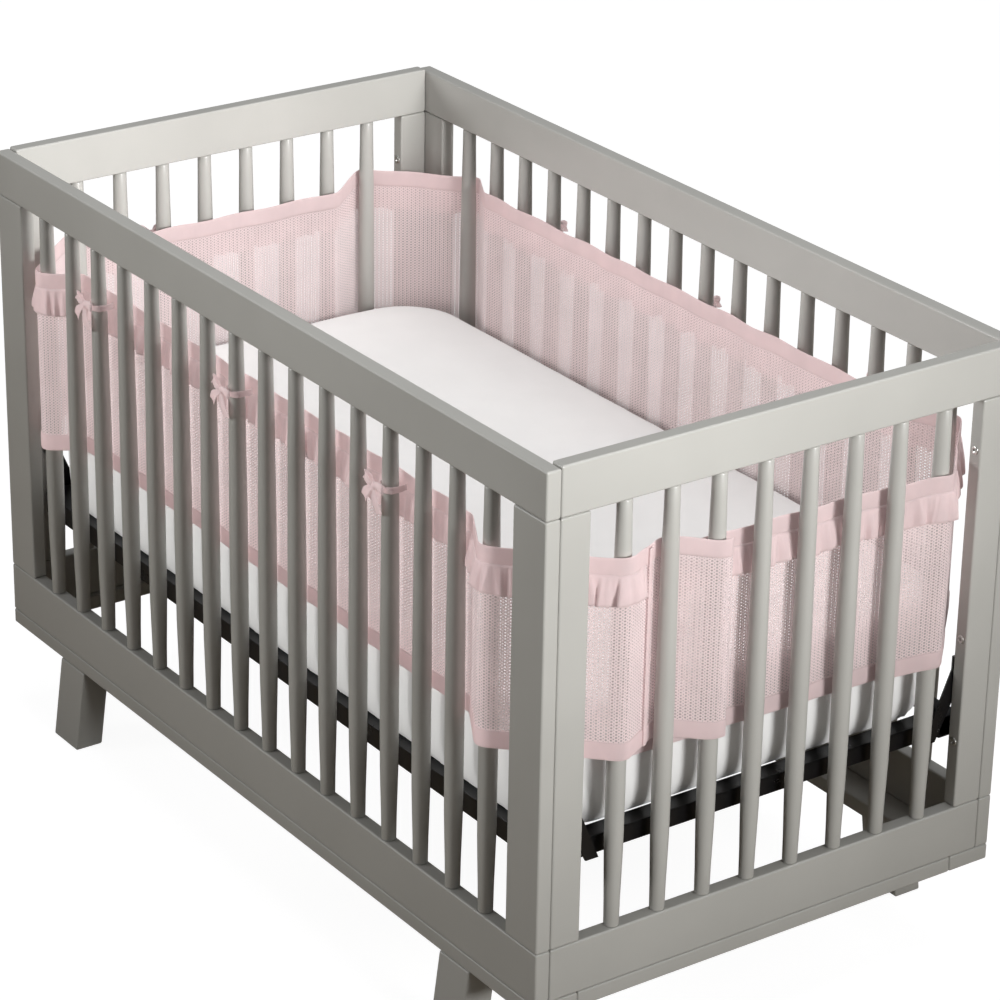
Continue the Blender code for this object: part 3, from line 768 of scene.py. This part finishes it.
class CRIB_OT_mattress(Operator):
    """Build the foam mattress in its fitted sheet"""
    bl_idname = "crib.mattress"
    bl_label = "Mattress and sheet"

    per_corner, per_long, per_short = 26, 84, 40
    corner = 0.100
    top_edge = 0.017
    low_edge = 0.020
    foot_h = 0.055          # where the side starts to turn under
    hem = 0.030             # how far up the gathers of the hem reach

    # Rings across the top and under the block, as shares of the inset that closes them.
    top_rings = (0.985, 0.92, 0.85, 0.77, 0.69, 0.61, 0.53, 0.45, 0.38, 0.31, 0.25, 0.20, 0.155,
                 0.12, 0.095)
    under_rings = (0.12, 0.3, 0.6, 0.985)
    side_rings = 8

    # Creases round each corner: where each starts along the arc, its lean and its depth.
    creases = ((0.012, 0.30, 0.0024), (0.052, 0.16, 0.0018), (0.098, -0.26, 0.0022),
               (0.140, -0.45, 0.0014))

    def execute(self, context):
        look = context.scene.bedding_look
        low, high = corners("mattress")
        bm = bmesh.new()
        count = 4 * self.per_corner + 2 * self.per_long + 2 * self.per_short
        bmesh.ops.create_circle(bm, cap_ends=False, segments=count, radius=1.0)
        order = {v: k for k, v in enumerate(bm.verts)}
        ring, edges = list(bm.verts), list(bm.edges)
        rows = self.rows(low.z, high.z, high.y)
        self.lay(ring, order, high, rows[0])
        for row in rows[1:]:
            grown = bmesh.ops.extrude_edge_only(bm, edges=edges)["geom"]
            fresh = [g for g in grown if isinstance(g, bmesh.types.BMVert)]
            for v in fresh:
                others = (e.other_vert(v) for e in v.link_edges)
                order[v] = next(order[other] for other in others if other in ring)
            ring = set(fresh)
            edges = [g for g in grown
                     if isinstance(g, bmesh.types.BMEdge) and ring.issuperset(g.verts)]
            self.lay(ring, order, high, row)
        bmesh.ops.remove_doubles(bm, verts=bm.verts, dist=0.0008)
        bmesh.ops.holes_fill(bm, edges=[e for e in bm.edges if e.is_boundary], sides=0)
        bmesh.ops.recalc_face_normals(bm, faces=bm.faces)
        bm.normal_update()
        moves = [(v, v.normal * self.rise(v.co, v.normal, low, high, look.crown)) for v in bm.verts]
        for v, move in moves:
            v.co += move
        ob = finish_piece("mattress_in_fitted_sheet", bm, cotton_percale(look.sheet))
        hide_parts("mattress")
        return {"FINISHED"}

    def rows(self, low, high, half):
        """(inset, height) of each ring: across the top, over its edge, down the side and under."""
        out = [(half * f, high) for f in self.top_rings]
        for a in map(math.radians, range(0, 91, 15)):
            fall = self.top_edge * (1 - math.cos(a))
            out.append((self.top_edge * (1 - math.sin(a)), high - fall))
        side = high - self.top_edge
        foot = low + self.foot_h
        n = self.side_rings
        out += [(0.0, blend(side, foot, k / n)) for k in range(1, n + 1)]
        for a in map(math.radians, range(10, 91, 10)):
            out.append((self.low_edge * (1 - math.cos(a)), foot - (foot - low) * math.sin(a)))
        return out + [(half * f, low) for f in self.under_rings]

    def lay(self, ring, order, high, row):
        """Places a ring round a rounded rectangle, its points in the same order each time."""
        inset, z = row
        hx, hy = high.x - inset, high.y - inset
        r = max(min(self.corner - inset, hy), 0.0004)
        for v in ring:
            v.co = self.outline(order[v], hx, hy, r, z)

    def outline(self, k, hx, hy, r, z):
        c, middles = self.per_corner, []
        for sx, sy in ((1, 1), (-1, 1), (-1, -1), (1, -1)):
            middles.append(Vector((sx * (hx - r), sy * (hy - r), z)))
        for turn, side in enumerate((self.per_long, self.per_short, self.per_long, self.per_short)):
            a = turn * math.pi / 2 + math.pi / 2 * min(k / (c - 1), 1)
            reach = Vector((math.cos(a), math.sin(a), 0)) * r
            if k < c:
                return middles[turn] + reach
            k -= c
            if k < side:
                start, end = middles[turn] + reach, middles[(turn + 1) % 4] + reach
                return start.lerp(end, (k + 1) / (side + 1))
            k -= side

    def rise(self, p, normal, low, high, crown):
        """How far the sheet stands off the block: crowned on top, full at the sides, gathered
        along the lower hem, and drawn into slanting creases at the corners."""
        soft = noise.noise(Vector((p.x / 0.16, p.y / 0.11, p.z / 0.2))) * 0.0011
        soft += noise.noise(Vector((p.x / 0.055, p.y / 0.045, 7.0))) * 0.0004
        if normal.z > 0.6:
            x, y = p.x / high.x, p.y / high.y
            return crown * (1 - x * x) * (1 - y * y) + soft
        if normal.z < -0.6:
            return 0.0
        tall = p.z - low.z
        f = tall / (high.z - low.z)
        full = 0.0016 * math.sin(math.pi * clamp(f))
        r = self.corner
        ax, ay = abs(p.x) - (high.x - r), abs(p.y) - (high.y - r)
        if ax > 0 and ay > 0:
            arc = math.atan2(ay, ax) * r
        else:
            arc = math.pi / 2 * r - ax if ay > 0 else ay
        hem = math.exp(-(tall / self.hem) ** 2)
        gather = hem * 0.0011 * ripple(arc, 0.021, 3.0 * noise.noise(p / 0.09))
        fade = (1 - ease((f - 0.35) / 0.6)) * (1.0 if -0.05 < arc < 0.22 else 0.0)
        drawn = 0.0
        for start, lean, depth in self.creases:
            d = arc - (start + lean * tall * (1.2 - 0.6 * f))
            ridge, furrow = math.exp(-((d - 0.008) / 0.006) ** 2), math.exp(-(d / 0.0045) ** 2)
            drawn += fade * depth * (0.7 * ridge - furrow)
        return full + soft + gather + drawn


class CRIB_OT_support(Operator):
    """Build the steel angle frame under the mattress and the slanting hangers"""
    bl_idname = "crib.support"
    bl_label = "Mattress frame"

    bays = 4
    plate = 0.003
    bar = 0.028
    short_of = 0.012        # how far each angle stops short of the corner
    bracket, bracket_round = 0.036, 0.016
    bolt_in, bolt_sunk = 0.010, 0.0013      # a hanger bolt from the strip's end, and into it

    def execute(self, context):
        coat = powder_coated_steel(context.scene.bedding_look.steel)
        low, high = corners("mattress_support")
        bm = bmesh.new()
        bar, t = self.bar, self.plate
        for sign in (-1, 1):
            # The ledge that the mattress lies on, then the upright flange round the outside.
            for axis, thick, foot, edge in (
                    (1, bar, high.z - t, 0.0008), (1, t, low.z, 0.0011),
                    (0, bar, high.z - t, 0.0008), (0, t, low.z + 0.004, 0.0011)):
                a, b = low.copy(), high.copy()
                a[1 - axis] += self.short_of
                b[1 - axis] -= self.short_of
                a[axis], b[axis] = inwards(high[axis], sign, thick)
                a.z = foot
                add_board(bm, a, b, edge)
        clear = (2 * high.x - (self.bays + 1) * bar) / self.bays
        for k in range(1, self.bays):
            x = low.x + k * (clear + bar)
            add_board(bm, (x, low.y + t, high.z - 0.012), (x + bar, high.y - t, high.z - t), 0.002)
        ob = finish_piece("mattress_frame_angle", bm, coat)
        even_normals(ob)
        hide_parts("mattress_support")
        self.corner_blocks(coat, low, high)
        self.hangers(coat)
        return {"FINISHED"}

    def corner_blocks(self, coat, low, high):
        """Rounded corner brackets that join the angles."""
        bm = bmesh.new()
        for sx in (-1, 1):
            for sy in (-1, 1):
                x0, x1 = inwards(high.x, sx, self.bracket)
                y0, y1 = inwards(high.y, sy, self.bracket)
                made = add_block(bm, Vector((x0, y0, low.z)), Vector((x1, y1, high.z)))
                outer = {v for v in made
                         if abs(v.co.x) > high.x - 0.001 and abs(v.co.y) > high.y - 0.001}
                upright = [e for e in edges_of(made) if outer.issuperset(e.verts)]
                round_off(bm, upright, self.bracket_round, 6)
        rim = [e for e in bm.edges if e.calc_face_angle(0) > math.radians(50)]
        round_off(bm, rim, 0.0016, 2)
        ob = finish_piece("mattress_frame_corners", bm, coat)
        even_normals(ob)

    def hangers(self, coat):
        """The frame's own hangers keep their shape; each gets its coat and two bolts."""
        bm = bmesh.new()
        for side in SIDES:
            for end in ENDS:
                name, sx, sy = "hanger_" + side + "_" + end, SIGN[end], SIGN[side]
                frame["nodes"][name].data.materials.clear()
                frame["nodes"][name].data.materials.append(coat)
                low, high = corners(name)
                x = low.x if sx > 0 else high.x
                foot_y, head_y = (high.y, low.y) if sy < 0 else (low.y, high.y)
                for y, z in ((foot_y + sy * 0.012, low.z + self.bolt_in),
                             (head_y - sy * self.bolt_in, high.z - self.bolt_in)):
                    made = bmesh.ops.create_cone(bm, cap_ends=True, segments=6, radius1=0.0055,
                                                 radius2=0.0052, depth=0.003)["verts"]
                    turn = Matrix.Rotation(math.radians(-90 * sx), 4, "Y")
                    turn = Matrix.Translation((x - sx * self.bolt_sunk, y, z)) @ turn
                    bmesh.ops.transform(bm, matrix=turn, verts=made)
        round_off(bm, bm.edges[:], 0.0004, 1)
        finish_piece("hanger_bolts", bm, coat, smooth=False)


class CRIB_OT_liner_mesh(Operator):
    """Hang the knitted mesh panel round the mattress, woven through the spindles"""
    bl_idname = "crib.liner_mesh"
    bl_label = "Liner mesh"

    rows = 14

    def execute(self, context):
        look = context.scene.liner_look
        knit = knitted_spacer_mesh(look.mesh, look.hole_across, look.hole_down)
        line = LinerLine(look.wave)
        deep = LINER_H - 2 * BIND_T

        def place(a, b):
            return line.at(a * line.length, 0.0002, BIND_T + b * deep)
        ob = hang_cloth("liner_mesh", knit, round(line.length / COLUMN_W), self.rows,
                        place, (line.length, deep))
        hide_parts("liner_mesh_panel")
        return {"FINISHED"}


class CRIB_OT_bindings(Operator):
    """Fold and stitch the bindings over the liner's top and bottom edges"""
    bl_idname = "crib.bindings"
    bl_label = "Bindings"

    # Half of the folded section: (out from the middle, down from the edge), in millimetres.
    fold = ((0.50, 25.0), (0.90, 23.4), (1.12, 20.0), (1.16, 15.0), (1.12, 9.0), (1.08, 4.0),
            (0.85, 1.3), (0.45, 0.3))
    section = (*fold, (0.0, 0.0), *[(-out, drop) for out, drop in reversed(fold)])

    def execute(self, context):
        look = context.scene.liner_look
        cloth = microfibre("stitched_microfibre_binding", look.cloth, stitched=True)
        line = LinerLine(look.wave)
        steps = len(self.section) - 1
        for edge, flip in (("top", False), ("bottom", True)):
            def place(a, b):
                s = a * line.length
                out, drop = self.section[round(b * steps)]
                pucker = 0.00025 * ripple(s, 0.0093, 2 * math.sin(s * 31)) * (drop / 25.0)
                drop = drop / 1000
                return line.at(s, out / 1000 + pucker, LINER_H - drop if flip else drop)
            ob = hang_cloth("liner_" + edge + "_binding_tape", cloth,
                            round(line.length / COLUMN_W), steps, place, (line.length, 2 * BIND_H))
            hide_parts("liner_" + edge + "_binding")
        return {"FINISHED"}


class CRIB_OT_ruffle(Operator):
    """Gather the ruffle below the top binding"""
    bl_idname = "crib.ruffle"
    bl_label = "Ruffle"

    near = 0.0007                   # the closest that the ruffle lies to the liner's middle
    column, rows = 0.0021, 10
    tries, back_off = 26, 0.0005    # how it is drawn back from the wood
    # Lengths of the map and of the flat strip, as shares of the finished length.
    mapped, flat = 1.35, 1.12

    def execute(self, context):
        look = context.scene.liner_look
        cloth = microfibre("gathered_microfibre", look.cloth, stitched=False)
        line = LinerLine(look.wave)
        end = line.strip_middle() - RUFFLE_STOP
        folds = self.folds(end)
        near = self.near

        def place(a, b):
            s = a * end
            rise, slide = self.fold_at(folds, s)
            open_out = 1 - (1 - b) ** 1.7
            gather = 0.0009 * ripple(s, 0.0072, 2.3 * math.sin(s * 23)) * b * (1 - b) ** 2 * 4
            roll = 0.0016 * max(0.0, ripple(s, 0.0145, 5 * math.sin(s * 9))) ** 3 * b
            s = clamp(s + slide * b, 0.0, end)
            out = near + 0.0008 * ease(6 * b) + max(0.0, rise * open_out + gather + roll)
            drop = BIND_H - 0.0020 + b * (RUFFLE_H + 0.0015) - 0.40 * rise * b * b
            drop -= 0.0012 * b * math.sin(s * 61)
            for _ in range(self.tries):
                if out <= near or clear_of_crib(line.at(s, out, drop).xy):
                    break
                out = max(near, out - self.back_off)
            return line.at(s, out, drop)
        ob = hang_cloth("liner_ruffle_frill", cloth, round(end / self.column),
                        self.rows, place, (end * self.mapped, RUFFLE_H))
        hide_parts("liner_ruffle")
        return {"FINISHED"}

    @staticmethod
    def folds(end):
        """Each fold: where it starts and ends, where its ridge is, how far it stands off, how
        sharp it is, and how far it leans to one side by the hem."""
        out, s, k = [], 0.004, 0
        while s < end:
            wide = 0.013 + 0.024 * hash01(3 * k + 1) ** 1.3
            high = (0.40 + 0.60 * hash01(7 * k + 3)) * min(1.0, wide / 0.022) * 0.0108
            ridge = 0.5 + 0.5 * (hash01(5 * k + 2) - 0.5)
            lean = (hash01(11 * k + 4) - 0.5) * 0.018
            out.append((s, s + wide, ridge, high, 0.75 + 1.1 * hash01(13 * k + 6), lean))
            s += wide
            k += 1
        return out

    @staticmethod
    def fold_at(folds, s):
        k = max(bisect_right(folds, s, key=lambda fold: fold[0]) - 1, 0)
        start, stop, ridge, high, sharp, lean = folds[k]
        t = clamp((s - start) / (stop - start))
        up = t / ridge if t < ridge else (1 - t) / (1 - ridge)
        share = math.sin(math.pi / 2 * up) ** sharp if up > 0 else 0.0
        return high * share, lean * up


class CRIB_OT_closure(Operator):
    """Sew the scalloped closure strip where the ruffle stops"""
    bl_idname = "crib.closure"
    bl_label = "Closure strip"

    wide, finished = 0.0105, 0.0094     # flat, and as sewn
    short = 0.002                       # how far it stops short of the liner's edges
    scallop, thick = 0.023, 0.0006

    def execute(self, context):
        cloth = bpy.data.materials["gathered_microfibre"]
        line = LinerLine(context.scene.liner_look.wave)
        middle = line.strip_middle()
        out = MESH_HALF + GAP + BIND_T + GAP + 0.0005
        tall = LINER_H - 2 * self.short

        def place(a, b):
            drop = self.short + a * tall
            across = (b - 0.5) * self.finished
            side = 1 if b > 0.5 else -0.35
            edge = 0.0012 * abs(ripple(drop, self.scallop)) * side * abs(2 * b - 1)
            puff = 0.0018 * math.sin(math.pi * b) * (0.7 + 0.3 * ripple(drop, self.scallop / 2, 1))
            return line.at(middle + across + edge, out + puff, drop)
        ob = hang_cloth("liner_closure", cloth, 96, 10, place, (tall, self.wide),
                        self.thick)
        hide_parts("liner_closure_strip")
        return {"FINISHED"}


class CRIB_OT_ties(Operator):
    """Tie the ribbons round their spindles in small bows with free ends"""
    bl_idname = "crib.ties"
    bl_label = "Ties"

    search_step = 0.004
    ribbon_t, ribbon_column, ribbon_rows = 0.0005, 0.0022, 4
    round_r = SPINDLE_MAX + 0.0016      # the ribbon round the spindle
    knot_r = SPINDLE_MAX + 0.0067       # the knot at its side
    knot_at = math.radians(52)
    knot_size = Vector((0.0052, 0.0048, 0.0056))
    back = -(R_INSIDE - 0.0028 - 0.0010)    # where the ribbon comes through the liner

    # Each strand from the knot, in millimetres: (sideways, outwards, up, and how far a bow's own
    # wobble moves it sideways and up).
    right_loop = ((0, 0, 0, 0, 0), (7, 4, 4, 0, 0), (15, 4.5, 8, 0, 1), (22.5, 1, 9, 0, 1),
                  (15, -3, 4, 0, 1), (7, -2, 1, 0, 0), (1, -1, 0, 0, 0))
    left_loop = ((0, 0, 0, 0, 0), (-7, 5, 5, 0, 0), (-15, 5.5, 6, 0, -1), (-21.5, 3, 3, 0, -1),
                 (-15, 0.5, 1, 0, 0), (-7, 1, 0.5, 0, 0), (-1, 1, 0, 0, 0))
    right_end = ((0, 0, 0, 0, 0), (8, 2.5, -5, 0, 0), (16, 3, -12, 0, 1), (23, 1, -19, 0, 1),
                 (28, -1, -26, 0, 1))
    left_end = ((0, 0, 0, 0, 0), (-2, 3, -8, 0, 0), (-6, 4.5, -17, 0, 0), (-11, 4, -26, -1, 0),
                (-14, 3, -34, -1, 0))

    def execute(self, context):
        look = context.scene.liner_look
        cloth = bpy.data.materials["gathered_microfibre"]
        line = LinerLine(0.0)
        for wall, i in TIE_SPOTS:
            centre = spindle(wall, i)
            out = Vector((SIGN[wall], 0)) if wall in ENDS else Vector((0, SIGN[wall]))
            s = min((self.search_step * k for k in range(int(line.length / self.search_step))),
                    key=lambda d: (line.where(d)[0] - centre).length)
            self.tie(wall, i, cloth, look.tie_width, centre, out, line.top(s) - TIE_DROP)
        return {"FINISHED"}

    def tie(self, wall, i, cloth, wide, centre, out, z):
        """One ribbon: round the spindle, two loops and two ends from a knot at its side."""
        side = Vector((-abs(out.y), -abs(out.x)))
        turn = hash01(centre.x * 37 + centre.y * 11)
        wobble = 0.003 * (turn - 0.5)

        def pt(a, b, h):
            flat = centre + a * side + b * out
            return Vector((flat.x, flat.y, z + h))
        r, back = self.round_r, self.back
        kx, ky = self.knot_r * math.cos(self.knot_at), self.knot_r * math.sin(self.knot_at)
        wrap = [pt(-r, back, 0.001), pt(-r, back / 4, 0)]
        wrap += [pt(-r * math.cos(q), r * math.sin(q), 0)
                 for q in map(math.radians, range(18, 165, 14))]
        wrap += [pt(r, back / 8, 0), pt(r, back, -0.001)]

        def from_knot(path):
            return [pt(kx + a / 1000 + wa * wobble, ky + b / 1000, h / 1000 + wh * wobble)
                    for a, b, h, wa, wh in path]
        level = Vector((0, 0, 1))
        strands = (
            # path, width along it, which way its width faces, how much it cups
            (wrap, lambda f: 0.78 + 0.12 * math.sin(9 * f), level, 0.0005),
            (from_knot(self.right_loop), lambda f: 0.45 + 0.75 * math.sin(math.pi * f), level,
             0.0014),
            (from_knot(self.left_loop), lambda f: 0.45 + 0.70 * math.sin(math.pi * f), level,
             0.0014),
            (from_knot(self.right_end), lambda f: 0.50 + 0.85 * ease(1.6 * f),
             Vector((0.6 * side.x, 0.6 * side.y, 0.8)), 0.0010),
            (from_knot(self.left_end), lambda f: 0.50 + 1.00 * ease(1.5 * f),
             Vector((side.x, side.y, 0.2)), 0.0014))
        bm = bmesh.new()
        cut = bm.loops.layers.uv.new("cut")
        total = 0.0
        for path, share, up, cup in strands:
            total += self.ribbon(bm, cut, path, share, wide, up, cup, total)
        self.knot(bm, cut, pt(kx, ky, 0), turn)
        name = "tie_%s_%d" % (wall, i)
        ob = finish_piece(name + "_ribbon", bm, cloth)
        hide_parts(name)

    def ribbon(self, bm, cut, path, share, wide, up, cup, start):
        """A flat ribbon along a smooth line through the path, cupped across its width."""
        long = sum((b - a).length for a, b in zip(path, path[1:]))
        columns = max(8, round(long / self.ribbon_column))
        grid = bmesh.ops.create_grid(bm, x_segments=columns, y_segments=self.ribbon_rows,
                                     size=0.5)["verts"]
        faces = list({f for v in grid for f in v.link_faces})
        lay_cut(faces, cut, lambda co: (start + (co.x + 0.5) * long, (co.y + 0.5) * wide))
        for v in grid:
            f, b = v.co.x + 0.5, v.co.y * 2
            p, along = through(path, f)
            across = (up - up.dot(along) * along).normalized()
            face_way = along.cross(across)
            half = wide * share(f) / 2
            curl = cup * (1 - b * b) + 0.0004 * math.sin(40 * f + 3 * b)
            v.co = p + across * b * half + face_way * curl
        bmesh.ops.recalc_face_normals(bm, faces=faces)
        thicken(bm, faces, self.ribbon_t)
        return long

    def knot(self, bm, cut, centre, turn):
        """A small tight knot, creased where the ribbon wraps over it."""
        made = bmesh.ops.create_uvsphere(bm, u_segments=20, v_segments=12, radius=1.0)["verts"]
        for v in made:
            a = math.atan2(v.co.y, v.co.x)
            crease = 1 + 0.09 * math.sin(4 * a + 5 * v.co.z + 6 * turn)
            v.co = v.co * self.knot_size * Vector((crease, crease, 1))
        tilt = Matrix.Translation(centre) @ Matrix.Rotation(math.radians(24), 4, "Y")
        bmesh.ops.transform(bm, matrix=tilt, verts=made)
        lay_cut({f for v in made for f in v.link_faces}, cut, lambda co: (co.x + co.y, co.z))


def through(path, f):
    """Point and direction at a fraction of a smooth line through the points."""
    n = len(path) - 1
    x = clamp(f * n, 0.0, n - 1e-6)
    k = int(x)
    t = x - k
    p0, p1, p2, p3 = (path[clamp(k + q, 0, n)] for q in (-1, 0, 1, 2))
    a, b, c = 2 * p0 - 5 * p1 + 4 * p2 - p3, 3 * p1 - p0 - 3 * p2 + p3, p2 - p0
    point = 0.5 * (2 * p1 + c * t + a * t * t + b * t ** 3)
    along = 0.5 * (c + 2 * a * t + 3 * b * t * t)
    return point, (along if along.length > 1e-7 else p2 - p1).normalized()


class CRIB_OT_stage(Operator):
    """Lay the pale floor, and set the soft lights and the camera"""
    bl_idname = "crib.stage"
    bl_label = "Stage"

    floor_half = 14
    # The two cones point over the top rails, so their light fades towards the floor.
    cone = math.radians(35)
    # Each light: where it is, where it points, its size and its share of the key's power.
    cones = (("near_end_softbox", (4.9, 0.1, 2.0), (0, -0.25, 1.3), 2.0, 0.64),
             ("front_fill", (-2.4, -4.3, 2.2), (0.2, 0, 1.25), 2.0, 0.27))
    overhead = ("overhead", (0.2, 0.8, 4.6), (0, 0, 0.3), 3.2, 0.26)
    fills = (("front_bedding_fill", (-0.6, -4.7, 1.7), (0, 0, 0.5), 2.6, 0.38),
             ("near_bedding_fill", (4.6, -0.8, 1.6), (0, 0, 0.5), 2.6, 0.02),
             ("top_bedding_fill", (0.2, 0.8, 4.6), (0, 0, 0.5), 2.6, 0.24))

    camera_place = (3.9195, -2.7492, 2.6583)
    camera_angles = (54.56, 24.33, 1.03)    # round from the front, down and roll, in degrees
    sensor, lens = 36, 134.8

    def execute(self, context):
        look, scene = context.scene.stage_look, context.scene
        scene.view_settings.view_transform = "Standard"
        bm = bmesh.new()
        bmesh.ops.create_grid(bm, x_segments=4, y_segments=4, size=self.floor_half)
        bmesh.ops.translate(bm, vec=(0, 0, -0.0005), verts=bm.verts)
        floor = mesh_object("floor", bm, pale_floor())
        self.room(scene, look.room)
        for light in self.cones:
            self.light(scene, look.key, *light, cone=self.cone)
        self.light(scene, look.key, *self.overhead)
        # Three fills reach the bedding only, and no rail, spindle or cloth shades it from them.
        soft = bpy.data.collections.new("lit_by_bedding_fills")
        solid = bpy.data.collections.new("shades_bedding_fills")
        for ob in scene.objects:
            if ob.name.startswith(("liner_", "mattress_in", "tie_")) and ob.type == "MESH":
                soft.objects.link(ob)
            if ob.name.startswith("mattress_in"):
                solid.objects.link(ob)
        for light in self.fills:
            fill = self.light(scene, look.key, *light)
            fill.light_linking.receiver_collection = soft
            fill.light_linking.blocker_collection = solid
        self.camera(scene)
        return {"FINISHED"}

    @staticmethod
    def room(scene, strength):
        """Even light all round; what the camera sees past the floor is plain white."""
        world = bpy.data.worlds.new("white_room")
        scene.world = world
        world.use_nodes = True
        tree = world.node_tree
        tree.nodes.clear()
        even = node(tree, "ShaderNodeBackground", {
            "Color": (0.97, 0.98, 1.0, 1), "Strength": strength})
        seen = node(tree, "ShaderNodeBackground", {"Color": (1, 1, 1, 1), "Strength": 1.0})
        path = node(tree, "ShaderNodeLightPath")
        mixed = node(tree, "ShaderNodeMixShader", {
            0: path.outputs["Is Camera Ray"], 1: even.outputs[0], 2: seen.outputs[0]})
        node(tree, "ShaderNodeOutputWorld", {0: mixed.outputs[0]})

    @staticmethod
    def light(scene, key, name, place, target, size, share, cone=None):
        """A soft square light, or a round one that shines in a cone."""
        power = key * share
        if cone:
            data = bpy.data.lights.new(name, "SPOT")
            # A cone's power counts the light all round it; a square's counts only what it gives.
            data.energy, data.shadow_soft_size = 4 * math.pi * power, size / 2
            data.spot_size, data.spot_blend = cone, 1.0
        else:
            data = bpy.data.lights.new(name, "AREA")
            data.shape, data.size, data.energy = "SQUARE", size, power
        ob = bpy.data.objects.new(name, data)
        ob.location = place
        ob.rotation_euler = (Vector(place) - Vector(target)).to_track_quat("Z", "Y").to_euler()
        scene.collection.objects.link(ob)
        return ob

    def camera(self, scene):
        """Stands off the near front corner and looks down along the crib."""
        turn, lift, roll = map(math.radians, self.camera_angles)
        level = math.cos(lift)
        back = Vector((math.sin(turn) * level, -math.cos(turn) * level, math.sin(lift)))
        right = Vector((math.cos(turn), math.sin(turn), 0))
        up = back.cross(right)
        level_right = right * math.cos(roll) + up * math.sin(roll)
        level_up = up * math.cos(roll) - right * math.sin(roll)
        data = bpy.data.cameras.new("camera")
        data.sensor_width, data.lens = self.sensor, self.lens
        ob = bpy.data.objects.new("camera", data)
        axes = Matrix((level_right, level_up, back)).transposed().to_4x4()
        ob.matrix_world = Matrix.Translation(self.camera_place) @ axes
        scene.collection.objects.link(ob)
        scene.camera = ob


PIECES = (CRIB_OT_boards, CRIB_OT_spindles, CRIB_OT_bolts, CRIB_OT_mattress, CRIB_OT_support,
          CRIB_OT_liner_mesh, CRIB_OT_bindings, CRIB_OT_ruffle, CRIB_OT_closure, CRIB_OT_ties,
          CRIB_OT_stage)
SETTINGS = (("crib_look", CribLook), ("bedding_look", BeddingLook), ("liner_look", LinerLook),
            ("stage_look", StageLook))


class CRIB_PT_panel(Panel):
    """Lists the settings and the pieces in the order they are built"""
    bl_idname = "CRIB_PT_panel"
    bl_label = "Crib with mesh liner"
    bl_space_type = "VIEW_3D"
    bl_region_type = "UI"
    bl_category = "Crib Liner"

    def draw(self, context):
        for group_name, group in SETTINGS:
            box = self.layout.box()
            for prop in group.__annotations__:
                box.prop(getattr(context.scene, group_name), prop)
        column = self.layout.column()
        for operator in PIECES:
            column.operator(operator.bl_idname)


def register():
    for name, group in SETTINGS:
        bpy.utils.register_class(group)
        setattr(bpy.types.Scene, name, PointerProperty(type=group))
    for cls in (*PIECES, CRIB_PT_panel):
        bpy.utils.register_class(cls)


def unregister():
    for cls in reversed((*PIECES, CRIB_PT_panel)):
        bpy.utils.unregister_class(cls)
    for name, group in reversed(SETTINGS):
        delattr(bpy.types.Scene, name)
        bpy.utils.unregister_class(group)


def main():
    register()
    for operator in PIECES:
        group, name = operator.bl_idname.split(".")
        getattr(getattr(bpy.ops, group), name)()


if __name__ == "__main__":
    main()
